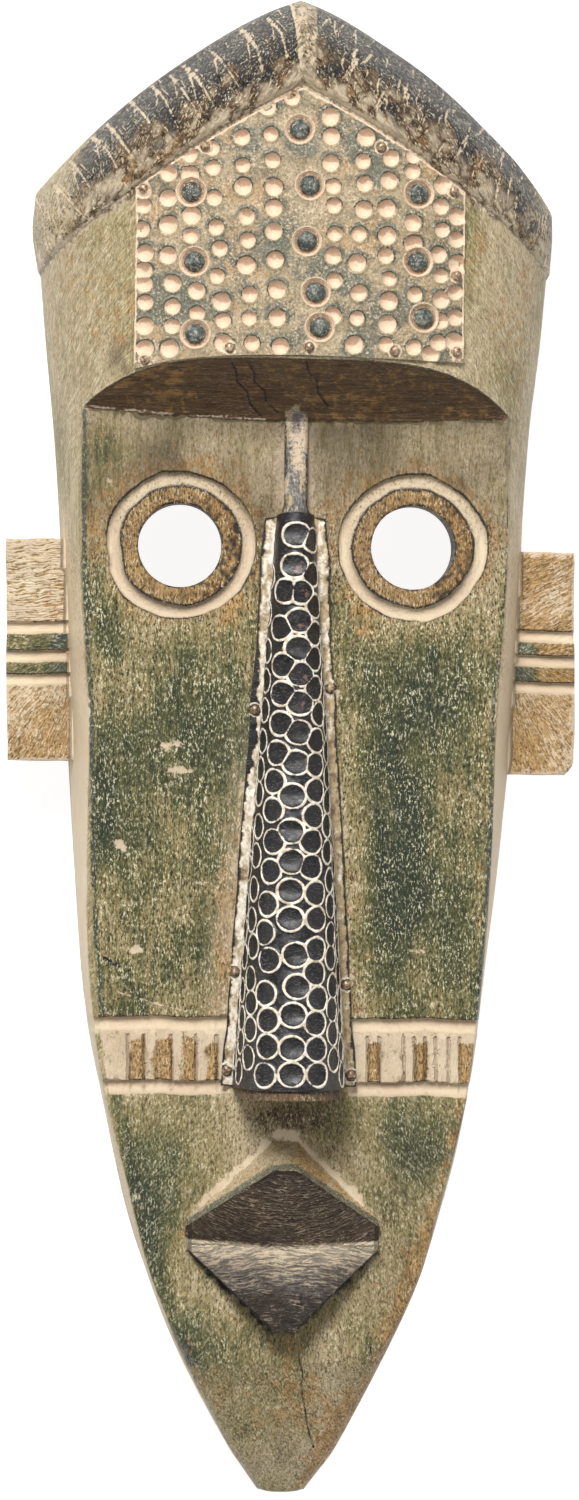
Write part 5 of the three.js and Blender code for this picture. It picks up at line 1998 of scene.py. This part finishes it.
def nose_metal():
    material, make, place = new_material("nose_sheet")
    grain = make.use(GRAIN, Place=place, Size=520.0, Stretch=0.7)
    scratch = make.use(FLECKS, Place=place, Size=800.0, Stretch=2.6)
    streaks = grain["Streaks"]
    colour = make.ramp(streaks, (0.3, tone(8, 7, 9)), (0.7, tone(34, 31, 32)))
    # Pale streaks on the black sheet: partly scratches, partly painted glints.
    colour = make.colour(scratch["Light"] * 0.4, colour, tone(140, 134, 130))
    flange = make.ramp(
        streaks, (0.38, tone(196, 174, 136)), (0.5, tone(176, 153, 114)), (0.64, tone(120, 98, 68)),
    )
    creamed = make.ramp(streaks, (0.42, tone(246, 238, 222)), (0.66, tone(190, 168, 138)))
    painted = make.flakes(place, make.paint("cream"), 800.0, 0.55)
    for share, coat in (
        (make.flakes(place, make.paint("brown"), 900.0, 0.9, 0.6), tone(136, 106, 90)),
        (make.flakes(place, make.paint("tan"), 900.0, 0.3), flange),
        (painted, creamed),
        (make.flakes(place, make.paint("hole"), 900.0, 0.2, 0.85), tone(44, 36, 30)),
    ):
        colour = make.colour(share, colour, coat)
    roughness = painted * 0.3 + make.between(streaks, 0.3, 0.7, 0.34, 0.54)
    return finish_material(material, make, colour, roughness, make.bump(grain["Height"], 0.35, 0.0003))


def tack_metal():
    material, make, place = new_material("tack_metal")
    mottle = make.noise(place, 900.0, 4.0, 0.6)
    colour = make.ramp(
        mottle, (0.36, tone(84, 68, 54)), (0.5, tone(150, 124, 98)), (0.64, tone(214, 190, 158)),
    )
    material.node_tree.nodes["Principled BSDF"].inputs["Metallic"].default_value = 0.3
    return finish_material(material, make, colour, 0.4)


FOREHEAD_SHEET = forehead_metal()
NOSE_SHEET = nose_metal()
TACK_METAL = tack_metal()
WOOD = painted_wood()
RAW = raw_wood()


def make_body():
    body = carved_shell()
    body.data.materials.append(WOOD)
    body.data.materials.append(RAW)
    for part in (nose_core(), mouth(), ear(EARS[0]), ear(EARS[1])):
        part.data.materials.append(WOOD)
        join_solid(body, part, "UNION")
    dug = hollow()
    dug.data.materials.append(RAW)
    join_solid(body, dug, "DIFFERENCE")
    for cx, cy in EYES:
        hole = eye_hole(cx, cy)
        hole.data.materials.append(WOOD)
        join_solid(body, hole, "DIFFERENCE")
    smooth(body, 38)
    x, y, z = coordinates(body)
    set_paint(body, body_paint(x, y, z))
    set_places(body, "grain", grain_directions(x, y, z))
    set_places(body, "slant", slant_directions(x, y, z))
    stand_for(body, "mask_body")


def stand_for(piece, node):
    """Hangs a piece under the root body and hides the CAD node that it stands for."""
    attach(piece, "root")
    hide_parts(node)


def make_sheets():
    for node, slot, sheet, paint, material in (
        ("forehead_plate", "forehead_sheet", forehead_plate, forehead_paint, FOREHEAD_SHEET),
        ("nose_plate", "nose_sheet", nose_plate, nose_paint, NOSE_SHEET),
    ):
        piece, a, b = sheet()
        smooth(piece, 50)
        set_paint(piece, paint(a, b))
        piece.data.materials.append(material)
        stand_for(piece, node)


def make_tacks():
    for sheet, surface, places in (
        ("forehead", forehead_surface, PLATE_TACKS), ("nose", nose_surface, nose_tack_places()),
    ):
        for i, (a, b) in enumerate(places):
            node = f"{sheet}_tack_{i + 1}"
            head = tack(node, surface, a, b)
            head.data.materials.append(TACK_METAL)
            stand_for(head, node)


make_body()
make_sheets()
make_tacks()


# The floor, the lights and the camera

FRAME_HEIGHT = 1500
CAMERA_FAR = 2.2
CAMERA_YAW, CAMERA_ROLL = math.radians(1.8), math.radians(0.65)
MM_PER_PIXEL, MIDDLE_Z = 0.338, 10.0
CAMERA_ASIDE = (0.0007, 0.001)
SENSOR = 24.0


def floor():
    """A pale floor that looks white in the light of the studio."""
    bpy.ops.object.select_all(action="DESELECT")
    bpy.ops.mesh.primitive_plane_add(size=40, location=(0, 0, 0))
    plane = bpy.context.object
    plane.name = "floor"
    material, _, _ = new_material("pale_floor")
    inputs = material.node_tree.nodes["Principled BSDF"].inputs
    inputs["Base Color"].default_value = (0.3, 0.3, 0.3, 1)
    inputs["Roughness"].default_value = 0.9
    inputs["Emission Color"].default_value = (1, 1, 1, 1)
    inputs["Emission Strength"].default_value = 0.9
    plane.data.materials.append(material)


def soft_light(name, place, size, power):
    light = bpy.data.lights.new(name, "AREA")
    light.shape = "DISK"
    light.size = size
    light.energy = power
    lamp = bpy.data.objects.new(name, light)
    bpy.context.scene.collection.objects.link(lamp)
    lamp.location = place
    lamp.rotation_euler = (-Vector(place)).to_track_quat("-Z", "Y").to_euler()


def camera():
    data = bpy.data.cameras.new("camera")
    data.sensor_fit = "VERTICAL"
    data.sensor_height = SENSOR
    focal_pixels = (CAMERA_FAR / MM - MIDDLE_Z) / MM_PER_PIXEL
    data.lens = focal_pixels / FRAME_HEIGHT * SENSOR
    taker = bpy.data.objects.new("camera", data)
    bpy.context.scene.collection.objects.link(taker)
    away = Vector((-math.sin(CAMERA_YAW), 0, math.cos(CAMERA_YAW)))
    right = Vector((math.cos(CAMERA_YAW), 0, math.sin(CAMERA_YAW)))
    up = Vector((0, 1, 0))
    rolled_right = right * math.cos(CAMERA_ROLL) + up * math.sin(CAMERA_ROLL)
    rolled_up = away.cross(rolled_right)
    turn = taker.matrix_world.to_3x3()
    for row in range(3):
        turn[row] = (rolled_right[row], rolled_up[row], away[row])
    taker.matrix_world = turn.to_4x4()
    taker.location = away * CAMERA_FAR + Vector((*CAMERA_ASIDE, 0))
    bpy.context.scene.camera = taker


floor()
soft_light("key", (-0.5, 1.6, 2.2), 1.0, 84)
soft_light("fill", (1.2, -0.8, 2.2), 1.6, 9)
world = bpy.data.worlds.new("studio")
world.use_nodes = True
world.node_tree.nodes["Background"].inputs["Color"].default_value = (1, 1, 1, 1)
world.node_tree.nodes["Background"].inputs["Strength"].default_value = 0.3
bpy.context.scene.world = world
bpy.context.scene.view_settings.view_transform = "Standard"
camera()
